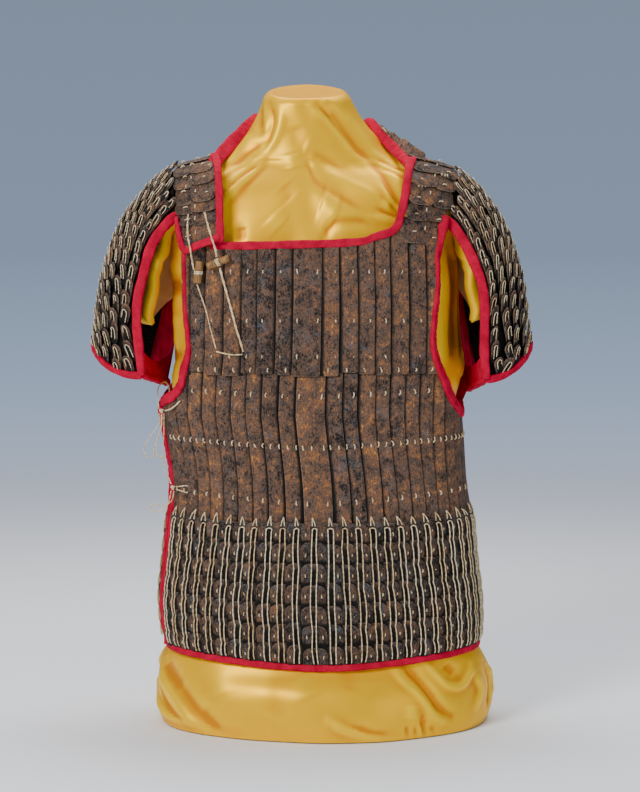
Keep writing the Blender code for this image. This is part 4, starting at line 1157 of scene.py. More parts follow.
# Heads of the waist scales: degrees round the body, height
WAIST_HEAD = np.array([
    (-78, 402), (-71, 408), (-65, 422), (-63.8, 436), (-62.6, 447),
    (62.6, 447), (64, 439), (67, 423), (70.5, 407), (74.5, 397), (79, 389), (84, 385),
    (89, 385), (97, 391), (106, 404), (113.6, 423), (117, 447), (243, 447),
    (246.4, 423), (254, 404), (263, 391), (271, 384), (275, 382),
], float)
WAIST_FOOT, WAIST_TALL, WAIST_MIDDLE = 256.0, 190.0, 400
# Stitches in front, over the scale edges, on the scales and near their feet; at the sides they
# are higher
EDGE_LACING, SCALE_LACING, LOW_LACING = 413.5, 351.5, 284
middles, widths, leans, edges = scale_row(WAIST_MIDDLE, (-26.4, -46.7, -67, -85, -104),
                                          (7.2, 27.6, 45.6, 66, 84, 102, 120), 18.6,
                                          (OPENING_FRONT + 1.5, OPENING_BACK - 1.5), 3.6)
middles = np.append(middles, turned_to(-9.6, WAIST_MIDDLE))
widths, leans = np.append(widths, 34.0), np.append(leans, 0.0)


def opening_front(height):
    """Degrees where the scales end in front of the side opening, the same at every height."""
    return OPENING_FRONT + 1.2


def opening_back(height):
    """The same behind the side opening."""
    return OPENING_BACK - 1.2


put = on_coat(middles, opening_front, opening_back)


def put_waist(x, z, out):
    """Stretches or shortens each scale, so that its head follows the armholes."""
    share = np.clip((z - WAIST_FOOT) / WAIST_TALL, 0, 1)
    at = put(x, z, out)
    turned = np.degrees(np.arctan2(at[..., 0] + 6, -at[..., 1]))
    turned = np.where(turned < OPENING_FRONT, turned + 360, turned)
    head = np.interp(turned, WAIST_HEAD[:, 0], WAIST_HEAD[:, 1])
    return put(x, WAIST_FOOT + share * (head - WAIST_FOOT), out - 1.5 * share ** 4)


waist_scale = forge(22, WAIST_TALL, 0, 1.8, LONG_CUTS, (0.14, 0.28, 0.42, 0.56, 0.7, 0.85),
                    1.2, 0.7)
waist = lay_scales("waist_scales", waist_scale, put_waist, widths,
                   np.full(len(middles), WAIST_TALL), np.full(len(middles), WAIST_FOOT), leans,
                   iron, (0.1, 1.0), seed=42)
settle(waist, "rusted_iron", "waist_wrap")
marks = []
for edge in edges:
    rise = math.sin(math.radians(edge)) ** 2
    head = np.interp(edge, WAIST_HEAD[:, 0], WAIST_HEAD[:, 1])
    if head > 428 and OPENING_FRONT + 4 < edge < OPENING_BACK - 3:
        marks.append((edge - np.sign(edge) * 1.9, EDGE_LACING + 8 * rise, 2.6))
for middle, wide in zip(middles, widths):
    rise = math.sin(math.radians(middle)) ** 2
    wide /= one_degree(middle, 355)  # from mm to degrees
    for turn in ((-0.36, -0.06, 0.36) if middle == middles[-1] else (-0.21, 0.21)):
        at = middle + turn * wide
        if OPENING_FRONT + 3 < at < OPENING_BACK - 3:
            marks.append((at, SCALE_LACING + 10 * rise, 2.9))
    for turn in ((-0.36, 0.32) if middle == middles[-1] else (0.0,)):
        if OPENING_FRONT + 4 < middle < OPENING_BACK - 3:
            marks.append((middle + turn * wide, LOW_LACING + 13 * rise, 2.7))
waist_stitches = lay_stitches("waist_stitches", marks, coat, hemp, length=5.4, thick=1.8,
                              seed=43)
settle(waist_stitches, "cord", "waist_wrap")


# ---------------------------------------------------------------------------------------------
# Skirt scales: seven rows of small round-headed scales, lower rows over upper ones, hung from a
# pair of upright cords through the middle of every scale. A rolled leather edge closes the top,
# and a short loop joins each pair to the waist.

FRONT_HEM, SIDE_HEM_RISE, SKIRT_TOP, SKIRT_ROWS = 86.0, 14.0, 263.0, 7
SKIRT_TALL, SKIRT_HEAD, SKIRT_LEVEL = 35.0, 0.94, 180  # a scale, its head's place in its row


def hem_height(degrees):
    """Height of the hem, which is lowest in front and behind."""
    return FRONT_HEM + SIDE_HEM_RISE * np.sin(np.radians(degrees)) ** 2


def skirt_height(degrees, place):
    """Height of a place down the skirt, counted in rows up from the hem."""
    foot = hem_height(degrees) + 4.5
    side = np.clip((np.abs(degrees) - 40) / 38, 0, 1) * np.clip((240 - np.abs(degrees)) / 38, 0, 1)
    return foot + (SKIRT_TOP + 6.5 * side - foot) * place / SKIRT_ROWS


# Pairs of cords: x of the first ones on each side, then how far apart the others are
pairs, sides = [], []
for side, inner, pitch, limit in (
        (-1, (-26.1, -43.4, -59.9, -78, -93.4, -110.7), 17.3, OPENING_FRONT + 3),
        (1, (15.4, 32.8), 17.35, OPENING_BACK - 3)):
    lengths, arc, degrees = edge_lengths(SKIRT_LEVEL, inner, pitch, limit)
    pairs += list(np.interp(lengths, arc, degrees))
    sides += [side] * len(lengths)
pairs = np.array(pairs + [turned_to(-5.2, SKIRT_LEVEL)])
sides = np.array(sides + [0])
draw = np.random.default_rng(50)
scale = forge(24, SKIRT_TALL, 0, 8.5, (-0.34, -0.16, -0.10, 0.10, 0.16, 0.34),
              (0.30, 0.44, 0.68), 1.1, 0.8)
all_middles = np.tile(pairs, SKIRT_ROWS)
all_sides = np.tile(sides, SKIRT_ROWS)
all_rows = np.repeat(np.arange(SKIRT_ROWS), len(pairs))
heads = skirt_height(all_middles, all_rows + SKIRT_HEAD) + draw.normal(0, 0.5, len(all_rows))
wide = np.where(all_sides == 0, 29.0, 24.0)
put = on_coat(all_middles, opening_front, opening_back)


def put_skirt(x, z, out):
    """The lowest row ends at the hem tape."""
    low = hem_height(all_middles)[:, None] + 1.0
    return put(x, np.maximum(z, low), out)


# hidden and inside give painted shade above the heads of the row below and between the two cords of
# each pair
skirt = lay_scales("skirt_scales", scale, put_skirt, wide, np.full(len(wide), SKIRT_TALL),
                   heads - SKIRT_TALL, all_sides * 0.9, iron, (-0.45, 0.35), crown=0.6,
                   groove=(0.30, 0.55), sunk=1.2, head_out=3.3, hidden=0.42, inside=(0.85, 0.13),
                   seed=51)
settle(skirt, "rusted_iron", "skirt_wrap")

# Each pair is one cord, down one leg and up the other; it dips where it is laced to a scale.
nodes = np.arange(SKIRT_ROWS + 1)[::-1] - 0.30
nodes[0] = SKIRT_ROWS - 0.36
nodes[-1] = 0.06
dense = np.linspace(0, SKIRT_ROWS, 6 * SKIRT_ROWS + 1)
out = 6.3 - 1.2 * np.exp(-((dense - np.round(dense)) / 0.14) ** 2)
routes = []
for pair in pairs:
    z = skirt_height(pair, nodes)
    gap = draw.uniform(2.6, 3.2)
    drift = draw.normal(0, 0.45, len(nodes))
    legs = []
    for leg in (-1, 1):
        wander = drift + draw.normal(0, 0.4, len(nodes))
        degrees = pair + (leg * gap + wander) / one_degree(pair, z)
        level = np.interp(dense, np.arange(len(nodes)), z)
        turned = np.interp(dense, np.arange(len(nodes)), degrees)
        legs.append(coat(turned, level, out))
    top = (legs[0][0] + legs[1][0]) / 2 + (0, 0, 1.2)
    routes.append(np.vstack([legs[0][::-1], top[None], legs[1]]))
half_way = len(routes) // 2
for label, share in (("front", routes[:half_way]), ("back", routes[half_way:])):
    cords = lay_cords(f"skirt_cords_{label}", share, 1.55, hemp, sides=6, step=0.62, seed=52)
    settle(cords, "cord", "skirt_wrap")

marks = []
for row in range(SKIRT_ROWS):
    for pair, side in zip(pairs, sides):
        for turn in ((-1, 1) if side == 0 else (side,)):
            z = skirt_height(pair, row + SKIRT_HEAD) - 14.2
            at = pair + turn * (9.5 if side == 0 else 8.2) / one_degree(pair, z)
            if OPENING_FRONT + 3 < at < OPENING_BACK - 3:
                marks.append((at, z, 4.2))
skirt_stitches = lay_stitches("skirt_stitches", marks, coat, hemp, length=3.9, thick=1.5,
                              seed=53)
settle(skirt_stitches, "cord", "skirt_wrap")

leather, tree, principled = new_material("dark_leather", 0.55)
creased = mottled(tree, principled, 420, 4.0, (0.012, 0.008, 0.006), (0.055, 0.034, 0.023),
                  0.35, 0.65)
bump(tree, principled, creased, 0.7, 0.0008)
# Between two pairs of cords the roll bows up and in.
ordered = np.sort(pairs)
degrees = np.concatenate([np.linspace(a, b, 6, endpoint=False)
                          for a, b in zip(ordered, ordered[1:])] + [ordered[-1:]])
bow = np.sin(math.pi * np.append(np.tile(np.linspace(0, 1, 6, endpoint=False),
                                         len(ordered) - 1), 0.0))
route = coat(degrees, skirt_height(degrees, SKIRT_ROWS) - 4.4 + 1.5 * bow, 4.2 - bow)
roll = lay_cords("skirt_rolled_edge", [route], 3.6, leather, sides=8, step=0.5, seed=54)
settle(roll, "rusted_iron", "skirt_wrap")

routes = []
for pair in pairs:
    tall = draw.uniform(8.0, 12.5)
    shift = draw.normal(0, 0.35)
    foot = skirt_height(pair, SKIRT_ROWS) - 5.2
    for leg in (-1, 1):
        turned = (pair + leg * 0.95, pair + leg * 0.6 + shift * 0.5, pair + shift * 1.6)
        level = (foot, foot + tall * 0.55, foot + tall)
        routes.append(coat(np.array(turned), np.array(level), (5.4, 4.6, 3.0)))
loops = lay_cords("skirt_loops", routes, 1.45, hemp, sides=6, step=0.8, seed=55)
settle(loops, "cord", "skirt_wrap")


# ---------------------------------------------------------------------------------------------
# Shoulder straps: short scales laid across each shoulder, upper rows over lower ones and the
# neck column over the arm column. The wearer's left strap runs into the chest row; the right
# one ends free over the chest and carries the toggle cords.

# Height of the shoulder ridge: distance from the neck's middle, height
RIDGE = np.array([(60, 766), (70, 757), (95, 730), (120, 707), (150, 699), (190, 688)], float)
SHOULDER_BASE, RIDGE_Y, SHOULDER_POWER, NECK_MIDDLE = 590.0, 10.0, 2.6, -9.0
# Scales of each strap: x of the neck end and of the arm end, degrees over the shoulder from the
# chest at 0 to the ridge at 90, of the lower and the upper edge, and how far they stand out
STRAP_SCALES = {
    "left": (
        (99, 136, 2, 12.4, 1.5), (104, 137, 11.6, 23.2, 1.5), (108, 142, 21.6, 36.4, 1.6),
        (111, 147, 35.4, 52, 1.6), (113, 153, 50, 70, 1.7), (112, 150, 68, 82, 1.4),
        (128, 148, 1, 12.5, 0.0), (132, 156, 12, 23, 0.0), (138, 164, 21.4, 35.4, 0.2),
        (141, 168, 34.4, 51.4, 0.3), (147, 172, 50, 71, 0.4), (144, 171, 69, 84, 0.2),
        (98, 134, 80, 91, 1.6), (130, 170, 82, 92, 0.6), (84, 118, 90, 104, 1.2),
        (114, 146, 90, 104, 0.6), (142, 170, 90, 104, 0.0), (70, 104, 103, 118, 1.2),
        (100, 136, 103, 118, 0.6), (132, 169, 103, 118, 0.0), (76, 106, 84.5, 91.5, 1.2),
    ),
    "right": (
        (-121, -151, 1, 10, 1.4), (-121, -152, 9.4, 16.6, 1.4), (-121, -153, 16, 24, 1.5),
        (-122, -154, 22.6, 38, 1.6), (-123, -156, 36.4, 51.4, 1.6), (-126, -158, 49.8, 67, 1.6),
        (-127, -160, 65, 80, 1.5), (-146, -168, 1, 9.6, 0.0), (-147, -170, 9, 16.6, 0.0),
        (-148, -172, 16, 23.6, 0.1), (-150, -173, 22, 36.6, 0.2), (-152, -176, 35, 50.6, 0.2),
        (-153, -177, 49, 68, 0.3), (-154, -177, 66, 80, 0.3), (-112, -146, 78, 91, 1.2),
        (-142, -181, 79, 91, 0.2), (-97, -128, 90, 104, 1.2), (-124, -152, 90, 104, 0.6),
        (-148, -176, 90, 104, 0.0), (-80, -112, 103, 118, 1.2), (-108, -142, 103, 118, 0.6),
        (-138, -175, 103, 118, 0.0),
    ),
}
# Stitches of each strap: x and degrees; flat ones lie across, the others upright
STRAP_STITCHES = {
    "left": ([(132, 59), (126, 42), (122, 26.5), (119, 15.8), (116, 6.5), (160, 57), (154, 40.5),
              (149, 25.5), (146, 13.5), (140, 4), (82, 86), (94, 86.4), (124, 85.6), (118, 87),
              (100, 86), (152, 83)],
             [(146, 65), (142, 47.5), (136, 31), (131, 18.8), (129, 8.4), (131, 69.6), (136, 69.6),
              (140, 69.8), (124, 51.4), (128, 51.6), (132, 51.8), (122, 35.9), (126, 36.1),
              (130, 36.2), (151, 51.4), (155, 51.6), (158, 51.8)]),
    "right": ([(-166, 62), (-154, 62), (-140, 60), (-162, 47), (-138, 43.5), (-163, 32.5),
               (-134, 29), (-160, 20), (-132, 55), (-166, 74), (-148, 74), (-134, 74)],
              [(-154, 44.5), (-148, 31.5), (-139, 38.6), (-135, 38.4), (-138, 24.4), (-134, 24.4),
               (-148, 20), (-148, 13), (-147, 6), (-130, 51.6), (-160, 36.8)]),
}


def shoulder(x, degrees, out=0.0):
    """A strap's face at x, from the chest at 0 degrees over the ridge at 90 to the back at 180."""
    x, degrees, out = np.broadcast_arrays(np.asarray(x, float), np.asarray(degrees, float),
                                          np.asarray(out, float))
    right, left, front, back, power = along(COAT, SHOULDER_BASE)
    across = (1 - np.minimum(np.abs(x - (left + right) / 2) / ((left - right) / 2), 1) ** power
              ) ** (1 / power)
    ridge = along(RIDGE, np.abs(x - NECK_MIDDLE))[..., 0] + out
    turn = np.radians(degrees)
    rise = np.abs(np.sin(turn)) ** (2 / SHOULDER_POWER)
    run = np.abs(np.cos(turn)) ** (2 / SHOULDER_POWER)
    face = np.where(degrees < 90, front * across - out, back * across + out)
    y = RIDGE_Y + (face - RIDGE_Y) * run
    return np.stack([x, y, SHOULDER_BASE + (ridge - SHOULDER_BASE) * rise], -1)


def strap_rise(x, degrees):
    """How far the wearer's right strap stands off, where its end lies over the chest."""
    return np.where(np.asarray(x) < 0, 7.0 * np.clip(1 - np.asarray(degrees) / 40, 0, 1), 0.0)


OVER = np.linspace(0, 180, 721)


def over_shoulder(middles, starts):
    """Puts scales on a shoulder: middles are x, starts the degrees at height 0 of each scale."""
    tables = []
    for x, start in zip(middles, starts):
        arc = running_length(shoulder(x, OVER))
        tables.append(arc - np.interp(start, OVER, arc))

    def put(x, z, out):
        degrees = np.stack([np.interp(row, table, OVER) for row, table in zip(z, tables)])
        return on_strap(np.asarray(middles)[:, None] + x, degrees, out)
    return put


def arc_over(x, low, high):
    """Length over the shoulder at x, between two turns in degrees."""
    return whole_length(shoulder(x, np.linspace(low, high, 40)))


def on_strap(x, degrees, out):
    """A strap's face, by degrees over the shoulder."""
    return shoulder(x, degrees, out + strap_rise(x, degrees))


NO_LAP = {"groove": (2, 3), "sunk": 0.0}  # these scales lie flat on each other at the sides
SHORT_CUTS, SHORT_SLICES = (-0.3, 0, 0.3), (0.35, 0.7)
short_scale = forge(32, 22, 9.0, 5.0, SHORT_CUTS, SHORT_SLICES, 1.2, 0.8)
for side, sign in (("left", 1), ("right", -1)):
    neck_end, arm_end, low, high, stand = np.array(STRAP_SCALES[side], float).T
    middles = (neck_end + arm_end) / 2
    tall = np.array([arc_over(*ends) for ends in zip(middles, low, high)])
    put = over_shoulder(middles, low)
    lift = np.where(low < 78, 3.2, 1.0)

    def put_strap(x, z, out):
        """The foot of each scale lies over the head of the one below."""
        at_foot = lift[:, None] * np.clip(1 - z / tall[:, None], 0, 1)
        return put(x, z, out + 1.3 * stand[:, None] - 0.8 + at_foot)

    strap = lay_scales(f"shoulder_strap_{side}_scales", short_scale, put_strap,
                       np.abs(arm_end - neck_end) + 1, tall + 3.0, np.zeros(len(middles)),
                       np.full(len(middles), sign * -0.25), iron, (0.10, 0.75), crown=1.0,
                       uneven=1.3, seed=61, **NO_LAP)
    settle(strap, "rusted_iron", f"shoulder_strap_{side}")
    flat, upright = STRAP_STITCHES[side]
    routes = []
    draw = np.random.default_rng(62)
    for places, across in ((flat, True), (upright, False)):
        for x, degrees in places:
            rate = arc_over(x, degrees - 0.5, degrees + 0.5)
            half = draw.uniform(1.7, 2.6) if across else draw.uniform(1.2, 2.0)
            shift = np.array([-1, -0.6, 0, 0.6, 1]) * half
            sunk = np.array([1.3, 0.2, 0, 0.2, 1.3])
            xs = x + (shift if across else 0.1 * shift)
            ds = degrees + (0.12 * shift if across else shift) / rate
            routes.append(on_strap(xs, ds, 5.6 - sunk))
    sewn = lay_cords(f"shoulder_strap_{side}_stitches", routes, 1.6, hemp, sides=6, step=0.6,
                     seed=63)
    settle(sewn, "cord", f"shoulder_strap_{side}")


# Four scales stand above the neck tape on the wearer's left, from the neck down the ridge.
slope = smooth_route([(68, 4, 742), (78, -3, 731), (90, -12, 718), (100, -22, 708), (110, -32, 698),
                      (124, -38, 688)], 1.0)
slope_middles = np.array([17.0, 36.0, 55.0, 74.0])


def put_on_slope(x, z, out):
    """x runs down the slope from its upper end, and z up and inwards from its foot."""
    at = np.clip(slope_middles[:, None] + x, 0, len(slope) - 1)
    base = np.stack([np.interp(at, np.arange(len(slope)), line) for line in slope.T], axis=-1)
    return (base + z[..., None] * np.array((0.58, 0.22, 0.78))
            + out[..., None] * np.array((0.25, -0.92, 0.30)))


ridge_row = lay_scales("shoulder_strap_left_ridge_scales", short_scale, put_on_slope,
                       np.full(4, 24.0), (12.0, 15.5, 19, 20), np.zeros(4), np.full(4, 0.8),
                       iron, (0.1, 0.75), crown=0.6, seed=65, **NO_LAP)
settle(ridge_row, "rusted_iron", "shoulder_strap_left")


# ---------------------------------------------------------------------------------------------
# Upper back: rows of upright scales between the straps, from the shoulder blades to the back
# neckline, upper rows over lower ones. It is finished plainly.

YOKE_ROWS = ((179.8, 165), (166, 151), (152, 138), (139, 122.8))  # degrees of foot and head
# Its sides: degrees over the shoulder, x at the wearer's right and left
YOKE_SIDES = np.array([(118, -173.5, 167.5), (150, -170, 163), (165, -162, 153.5),
                       (180, -153, 142.5)])
YOKE_COLUMNS = 17
middles, starts, tall, leans = [], [], [], []
for low, high in YOKE_ROWS:
    right, left = (np.interp((low + high) / 2, YOKE_SIDES[:, 0], YOKE_SIDES[:, n]) for n in (1, 2))
    for x in np.linspace(right + 10, left - 10, YOKE_COLUMNS):
        middles.append(x)
        starts.append(low)
        tall.append(arc_over(x, high, low))
        leans.append(1.0 if x > 6 else -1.0 if x < -6 else 0.0)
tables = []
for x, start in zip(middles, starts):
    arc = running_length(shoulder(x, OVER))
    tables.append(np.interp(start, OVER, arc) - arc)


def put_yoke(x, z, out):
    """z runs up the back, so the degrees over the shoulder fall."""
    degrees = np.stack([np.interp(row, table[::-1], OVER[::-1]) for row, table in zip(z, tables)])
    tip = np.clip(1 - z / 24, 0, 1)
    return shoulder(np.asarray(middles)[:, None] + x, degrees, out + 1.6 * tip)


back_scale = forge(22, 26, 3.0, 2.0, SHORT_CUTS, SHORT_SLICES, 1.2, 0.8)
tall = np.array(tall)
yoke = lay_scales("yoke_back_scales", back_scale, put_yoke, np.full(len(middles), 22.5), tall + 3.5,
                  np.full(len(middles), -0.5), leans, iron, (0.2, 0.7), sunk=0.8, seed=64)
settle(yoke, "rusted_iron", "yoke_back")
marks = [(x, start - 2.2, 3.4) for x, start in zip(middles, starts)]
sewn = lay_stitches("yoke_back_stitches", marks, shoulder, hemp, length=4.0, thick=1.5,
                    cross=True, seed=65)
settle(sewn, "cord", "yoke_back")


# ---------------------------------------------------------------------------------------------
# Sleeves: small round-headed scales in fourteen rows, each row set half a scale over from the
# last and hung from its own cord loops, over a near-black sheet that paints the shadow seen
# between them.

# Rows from the shoulder seam to the hem: place, then front edge, outermost line and back edge
SLEEVES = {
    "right": np.array([
        (0.000, -176, -66, 632, -179, 5, 696, -178, 72, 640),
        (0.125, -187, -71, 618, -203, 5, 679, -187, 77, 620),
        (0.250, -199, -74, 601, -225, 5, 655, -192, 80, 598),
        (0.375, -206.5, -76, 580, -243, 5, 630, -195, 82, 572),
        (0.500, -212.5, -77, 555, -257, 5, 600, -197, 83, 545),
        (0.625, -218, -77, 528, -268, 5, 566, -200, 83, 517),
        (0.750, -219, -76, 497, -275, 5, 532, -206, 82, 489),
        (0.875, -216, -75, 467, -280, 5, 499, -213, 80, 461),
        (1.000, -213, -73, 438, -282, 5, 471, -220, 78, 434),
    ], float),
    "left": np.array([
        (0.000, 159, -66, 626, 174, 5, 691, 163, 72, 636),
        (0.125, 170, -71, 612, 194, 5, 675, 173, 77, 617),
        (0.250, 181, -74, 592, 212, 5, 655, 178, 80, 595),
        (0.375, 190, -76, 571, 228, 5, 631, 181, 82, 570),
        (0.500, 198, -77, 548, 241, 5, 604, 184, 83, 543),
        (0.625, 201, -77, 521, 251, 5, 574, 188, 83, 513),
        (0.750, 201, -76, 492, 258, 5, 541, 193, 82, 485),
        (0.875, 201, -75, 461, 263, 5, 506, 199, 80, 457),
        (1.000, 204, -73, 433, 267, 5, 473, 206, 78, 430),
    ], float),
}
SLEEVE_ROWS, SLEEVE_COLUMNS = 14, 12
SLEEVE_WIDE, SLEEVE_TALL = 13.0, 27.0  # of one scale


def sleeve_point(table, degrees, place):
    """A point of a sleeve's bare face."""
    values = along(table, place)
    front_edge, outermost, back_edge = values[..., 0:3], values[..., 3:6], values[..., 6:9]
    edge = np.where(np.asarray(degrees)[..., None] < 90, front_edge, back_edge)
    turn = np.radians(degrees)
    point = edge + (outermost - edge) * np.sin(turn)[..., None]
    point[..., 1] = outermost[..., 1] + (edge[..., 1] - outermost[..., 1]) * np.abs(np.cos(turn))
    # the hem sags between its corners
    from_corner = 1 - np.abs(1 - np.asarray(degrees) / 90)
    sag = np.abs(np.sin(math.pi * from_corner)) ** 0.75 * (1 - 0.9 * from_corner ** 2)
    point[..., 2] -= 16.0 * sag * np.clip((np.asarray(place) - 0.55) / 0.45, 0, 1) ** 2
    return point


def sleeve(table, degrees, place, out=0.0):
    """A sleeve's face by degrees round the arm from the front edge, and place down the sleeve."""
    degrees, place, out = np.broadcast_arrays(np.asarray(degrees, float), np.asarray(place, float),
                                              np.asarray(out, float))
    held = np.clip(place, 0.002, 0.998)
    arm = along(table, held).reshape(*held.shape, 3, 3).mean(axis=-2)
    inside = np.stack([arm[..., 0] * 0.9, np.full(held.shape, 5.0), arm[..., 2] - 30], -1)
    across = sleeve_point(table, degrees + 0.05, held) - sleeve_point(table, degrees - 0.05, held)
    down = sleeve_point(table, degrees, held + 0.001) - sleeve_point(table, degrees, held - 0.001)
    normal = np.cross(across, down)
    normal /= np.linalg.norm(normal, axis=-1, keepdims=True)
    at = sleeve_point(table, degrees, place)
    facing = np.sign(((at - inside) * normal).sum(axis=-1, keepdims=True))
    return at + normal * facing * out[..., None]


def closed_sheet(outer, inner):
    """Points and faces of a sheet with both faces and its rim, from two equal grids."""
    rows, columns = outer.shape[:2]
    count = rows * columns
    faces = grid_faces(rows, columns)
    faces += [tuple(reversed(face)) for face in grid_faces(rows, columns, first=count)]
    rim = ([n for n in range(columns)] + [n * columns + columns - 1 for n in range(1, rows)]
           + [(rows - 1) * columns + n for n in range(columns - 2, -1, -1)]
           + [n * columns for n in range(rows - 2, 0, -1)])
    faces += [(a, a + count, b + count, b) for a, b in zip(rim, rim[1:] + rim[:1])]
    return np.vstack([outer.reshape(-1, 3), inner.reshape(-1, 3)]), faces


def face_outwards(mesh_object):
    """Turns every face of a closed mesh to look out of it."""
    shape = bmesh.new()
    shape.from_mesh(mesh_object.data)
    bmesh.ops.recalc_face_normals(shape, faces=shape.faces)
    shape.to_mesh(mesh_object.data)
    shape.free()
    return mesh_object


# a near-black sheet under each sleeve's scales: painted shadow, seen in the gaps between them
shadow_black, tree, principled = new_material("painted_shadow_black", 0.9, Specular_IOR_Level=0.1)
mottled(tree, principled, 260, 3.0, (0.004, 0.003, 0.003), (0.016, 0.011, 0.009), low=0.4)
# Degrees round each sleeve where scales can hang, from its front edge to its back edge
sleeve_turns = np.linspace(1, 179, 179)
sleeve_scale = forge(SLEEVE_WIDE, SLEEVE_TALL, 0, 6.0, (-0.19, 0.19), (0.45, 0.68), 1.2, 0.7)
for side, table in SLEEVES.items():
    draw = np.random.default_rng(71 if side == "right" else 72)
    spots = []  # degrees, place down the sleeve and row of each scale's head
    for row in np.arange(0, 2 * SLEEVE_ROWS) / 2 - 0.25:
        place = (row + 0.1) / SLEEVE_ROWS
        line = sleeve_point(table, sleeve_turns, np.full(len(sleeve_turns), max(place, 0.0)))
        arc = running_length(line)
        first = int(2 * row + 0.5) % 2
        for column in range(first, SLEEVE_COLUMNS, 2):
            length = 9 + (arc[-1] - 13) * (column + 0.4) / SLEEVE_COLUMNS
            spots.append((np.interp(length + draw.normal(0, 1.0), arc, sleeve_turns),
                          place + draw.normal(0, 0.04) / SLEEVE_ROWS, row))
    count = len(spots)
    at_turn, at_place, at_row = (np.array(column)[:, None] for column in zip(*spots))
    ragged = np.clip((at_row - 8) / 5, 0, 1)  # the lower rows hang more unevenly
    twist = draw.normal(0, 0.09, (count, 1)) + ragged * draw.normal(0, 0.26, (count, 1))
    held = np.clip(at_place, 0.006, 0.994)
    wide = np.linalg.norm(sleeve_point(table, at_turn + 0.5, held)
                          - sleeve_point(table, at_turn - 0.5, held), axis=-1)
    down = np.linalg.norm(sleeve_point(table, at_turn, held + 0.005)
                          - sleeve_point(table, at_turn, held - 0.005), axis=-1) * 100

    def hang(x, z, out):
        """z is measured down from the scale's head in mm."""
        x, z = x + z * np.sin(twist), z * np.cos(twist) - x * np.sin(twist)
        place = np.clip(at_place + z / down, -0.09, 1.0)
        above = np.clip(-place, 0, 1) * down
        point = sleeve(table, np.clip(at_turn + x / wide, 1.5, 179), place, out)
        return point + above[..., None] * np.array((0.75 if side == "right" else -0.75, 0, 0.66))

    # hidden and inside give painted shade above the next row's heads and inside each cord loop
    shells = lay_scales(f"sleeve_{side}_scales", sleeve_scale,
                        lambda x, z, out: hang(x, SLEEVE_TALL - 2.8 - z, out - 4.0),
                        np.full(count, SLEEVE_WIDE), np.full(count, SLEEVE_TALL), np.zeros(count),
                        draw.choice((-0.5, 0.5), count), iron, (0.0, 0.62), crown=0.8,
                        head_out=4.2, uneven=1.6, hidden=0.45, inside=(0.7, 0.3), seed=73,
                        **NO_LAP)
    settle(shells, "rusted_iron", f"sleeve_{side}")

    # each loop goes up, round the head of its scale and down again
    leg = 2.5 + draw.uniform(-0.4, 0.6, (count, 1))
    reach = 16.5 + draw.uniform(-2.0, 1.5, (count, 1))
    x = leg * np.array((-1.05, -1, -1, -0.55, 0, 0.55, 1, 1, 1.05))
    z = np.hstack([reach, reach * 0.5, np.tile((3.4, 1.5, 0.9, 1.5, 3.4), (count, 1)),
                   reach * 0.5, reach + draw.normal(0, 1, (count, 1))])
    out = np.tile((-1.2, 0.6, 2.3, 2.6, 2.7, 2.6, 2.3, 0.6, -1.2), (count, 1))
    loops = lay_cords(f"sleeve_{side}_loops", list(hang(x, z, out)), 1.25, hemp, sides=5, step=1.0,
                      seed=74)
    settle(loops, "cord", f"sleeve_{side}")

    turned, placed = np.meshgrid(np.linspace(2, 179.5, 45), np.linspace(0.0, 0.999, 40))
    puffs = 0.5 * np.sin(turned / 5) * np.sin(placed * 40)
    points, faces = closed_sheet(sleeve(table, turned, placed, -5.8 + puffs),
                                 sleeve(table, turned, placed, -7.2 + puffs))
    shadow_sheet = face_outwards(build_mesh(f"sleeve_{side}_web", in_place(points), faces, shadow_black))
    settle(shadow_sheet, "rusted_iron", f"sleeve_{side}")


# ---------------------------------------------------------------------------------------------
# Sleeve supports: padded satin arches inside the sleeves, lined with buff cloth. Their front
# edges are loosely gathered.

lining, tree, principled = new_material("buff_lining", 0.8)
mottled(tree, principled, 45, 3.0, (0.72, 0.42, 0.17), (0.88, 0.62, 0.32))
SUPPORTS = {
    # how far inside the sleeve, and how far down the sleeve the back end reaches
    "right": (43.5, (0.62, 0.495)),
    "left": (41.5, (0.50, 0.36)),
}
SUPPORT_ROWS, SUPPORT_COLUMNS, SUPPORT_TOP = 60, 120, 0.20
for side, (inside, back_end) in SUPPORTS.items():
    table = SLEEVES[side]
    turned, share = np.meshgrid(np.linspace(40, 172, SUPPORT_COLUMNS),
                                np.linspace(0, 1, SUPPORT_ROWS))
    lower_end = np.interp(turned, (40, 60, 120, 159, 172), (0.815, 0.84, 0.84, *back_end))
    placed = SUPPORT_TOP + (lower_end - SUPPORT_TOP) * share
    near_rim = np.minimum.reduce([(turned - 40) / 8, (172 - turned) / 9, share / 0.09,
                                  (1 - share) / 0.06])
    plump = np.sqrt(np.clip(1 - (1 - np.clip(near_rim, 0, 1)) ** 2, 0, 1))
    frill = (1.5 * np.sin(placed * 52 + np.sin(placed * 23) * 1.6) * np.exp(-(turned - 40) / 16)
             + 0.9 * np.sin(placed * 31 + turned / 13))
    waved = turned + 1.4 * np.sin(placed * 34 + 1) * np.exp(-(turned - 40) / 14)
    inset = (inside - 6 * np.clip((0.45 - placed) / 0.2, 0, 1))[..., None]
    inset = inset * np.array((1 if side == "right" else -1, 0, 0))
    outer = sleeve(table, waved, placed, -11.0 + 8.2 * plump + frill * 0.8) + inset
    inner = sleeve(table, waved, placed, -11.4 - 8.2 * plump + frill * 0.8) + inset
    points, faces = closed_sheet(outer, inner)
    # painted light and shade along the frills of the support's satin
    arch = build_mesh(f"sleeve_support_{side}_padded", in_place(points), faces, satin,
                      {"painted_light": np.tile(np.clip(0.85 + 0.10 * frill, 0, 1).ravel(), 2)}, angle=80)
    face_outwards(arch)
    arch.data.materials.append(lining)
    # the inner face is buff cloth, but for the satin turned over its front edge
    across = SUPPORT_COLUMNS - 1
    count = (SUPPORT_ROWS - 1) * across
    lined = np.zeros(len(arch.data.polygons), np.int32)
    lined[count:2 * count] = (np.arange(count) % across > 7)
    arch.data.polygons.foreach_set("material_index", lined)
    settle(arch, "satin", f"sleeve_support_{side}")


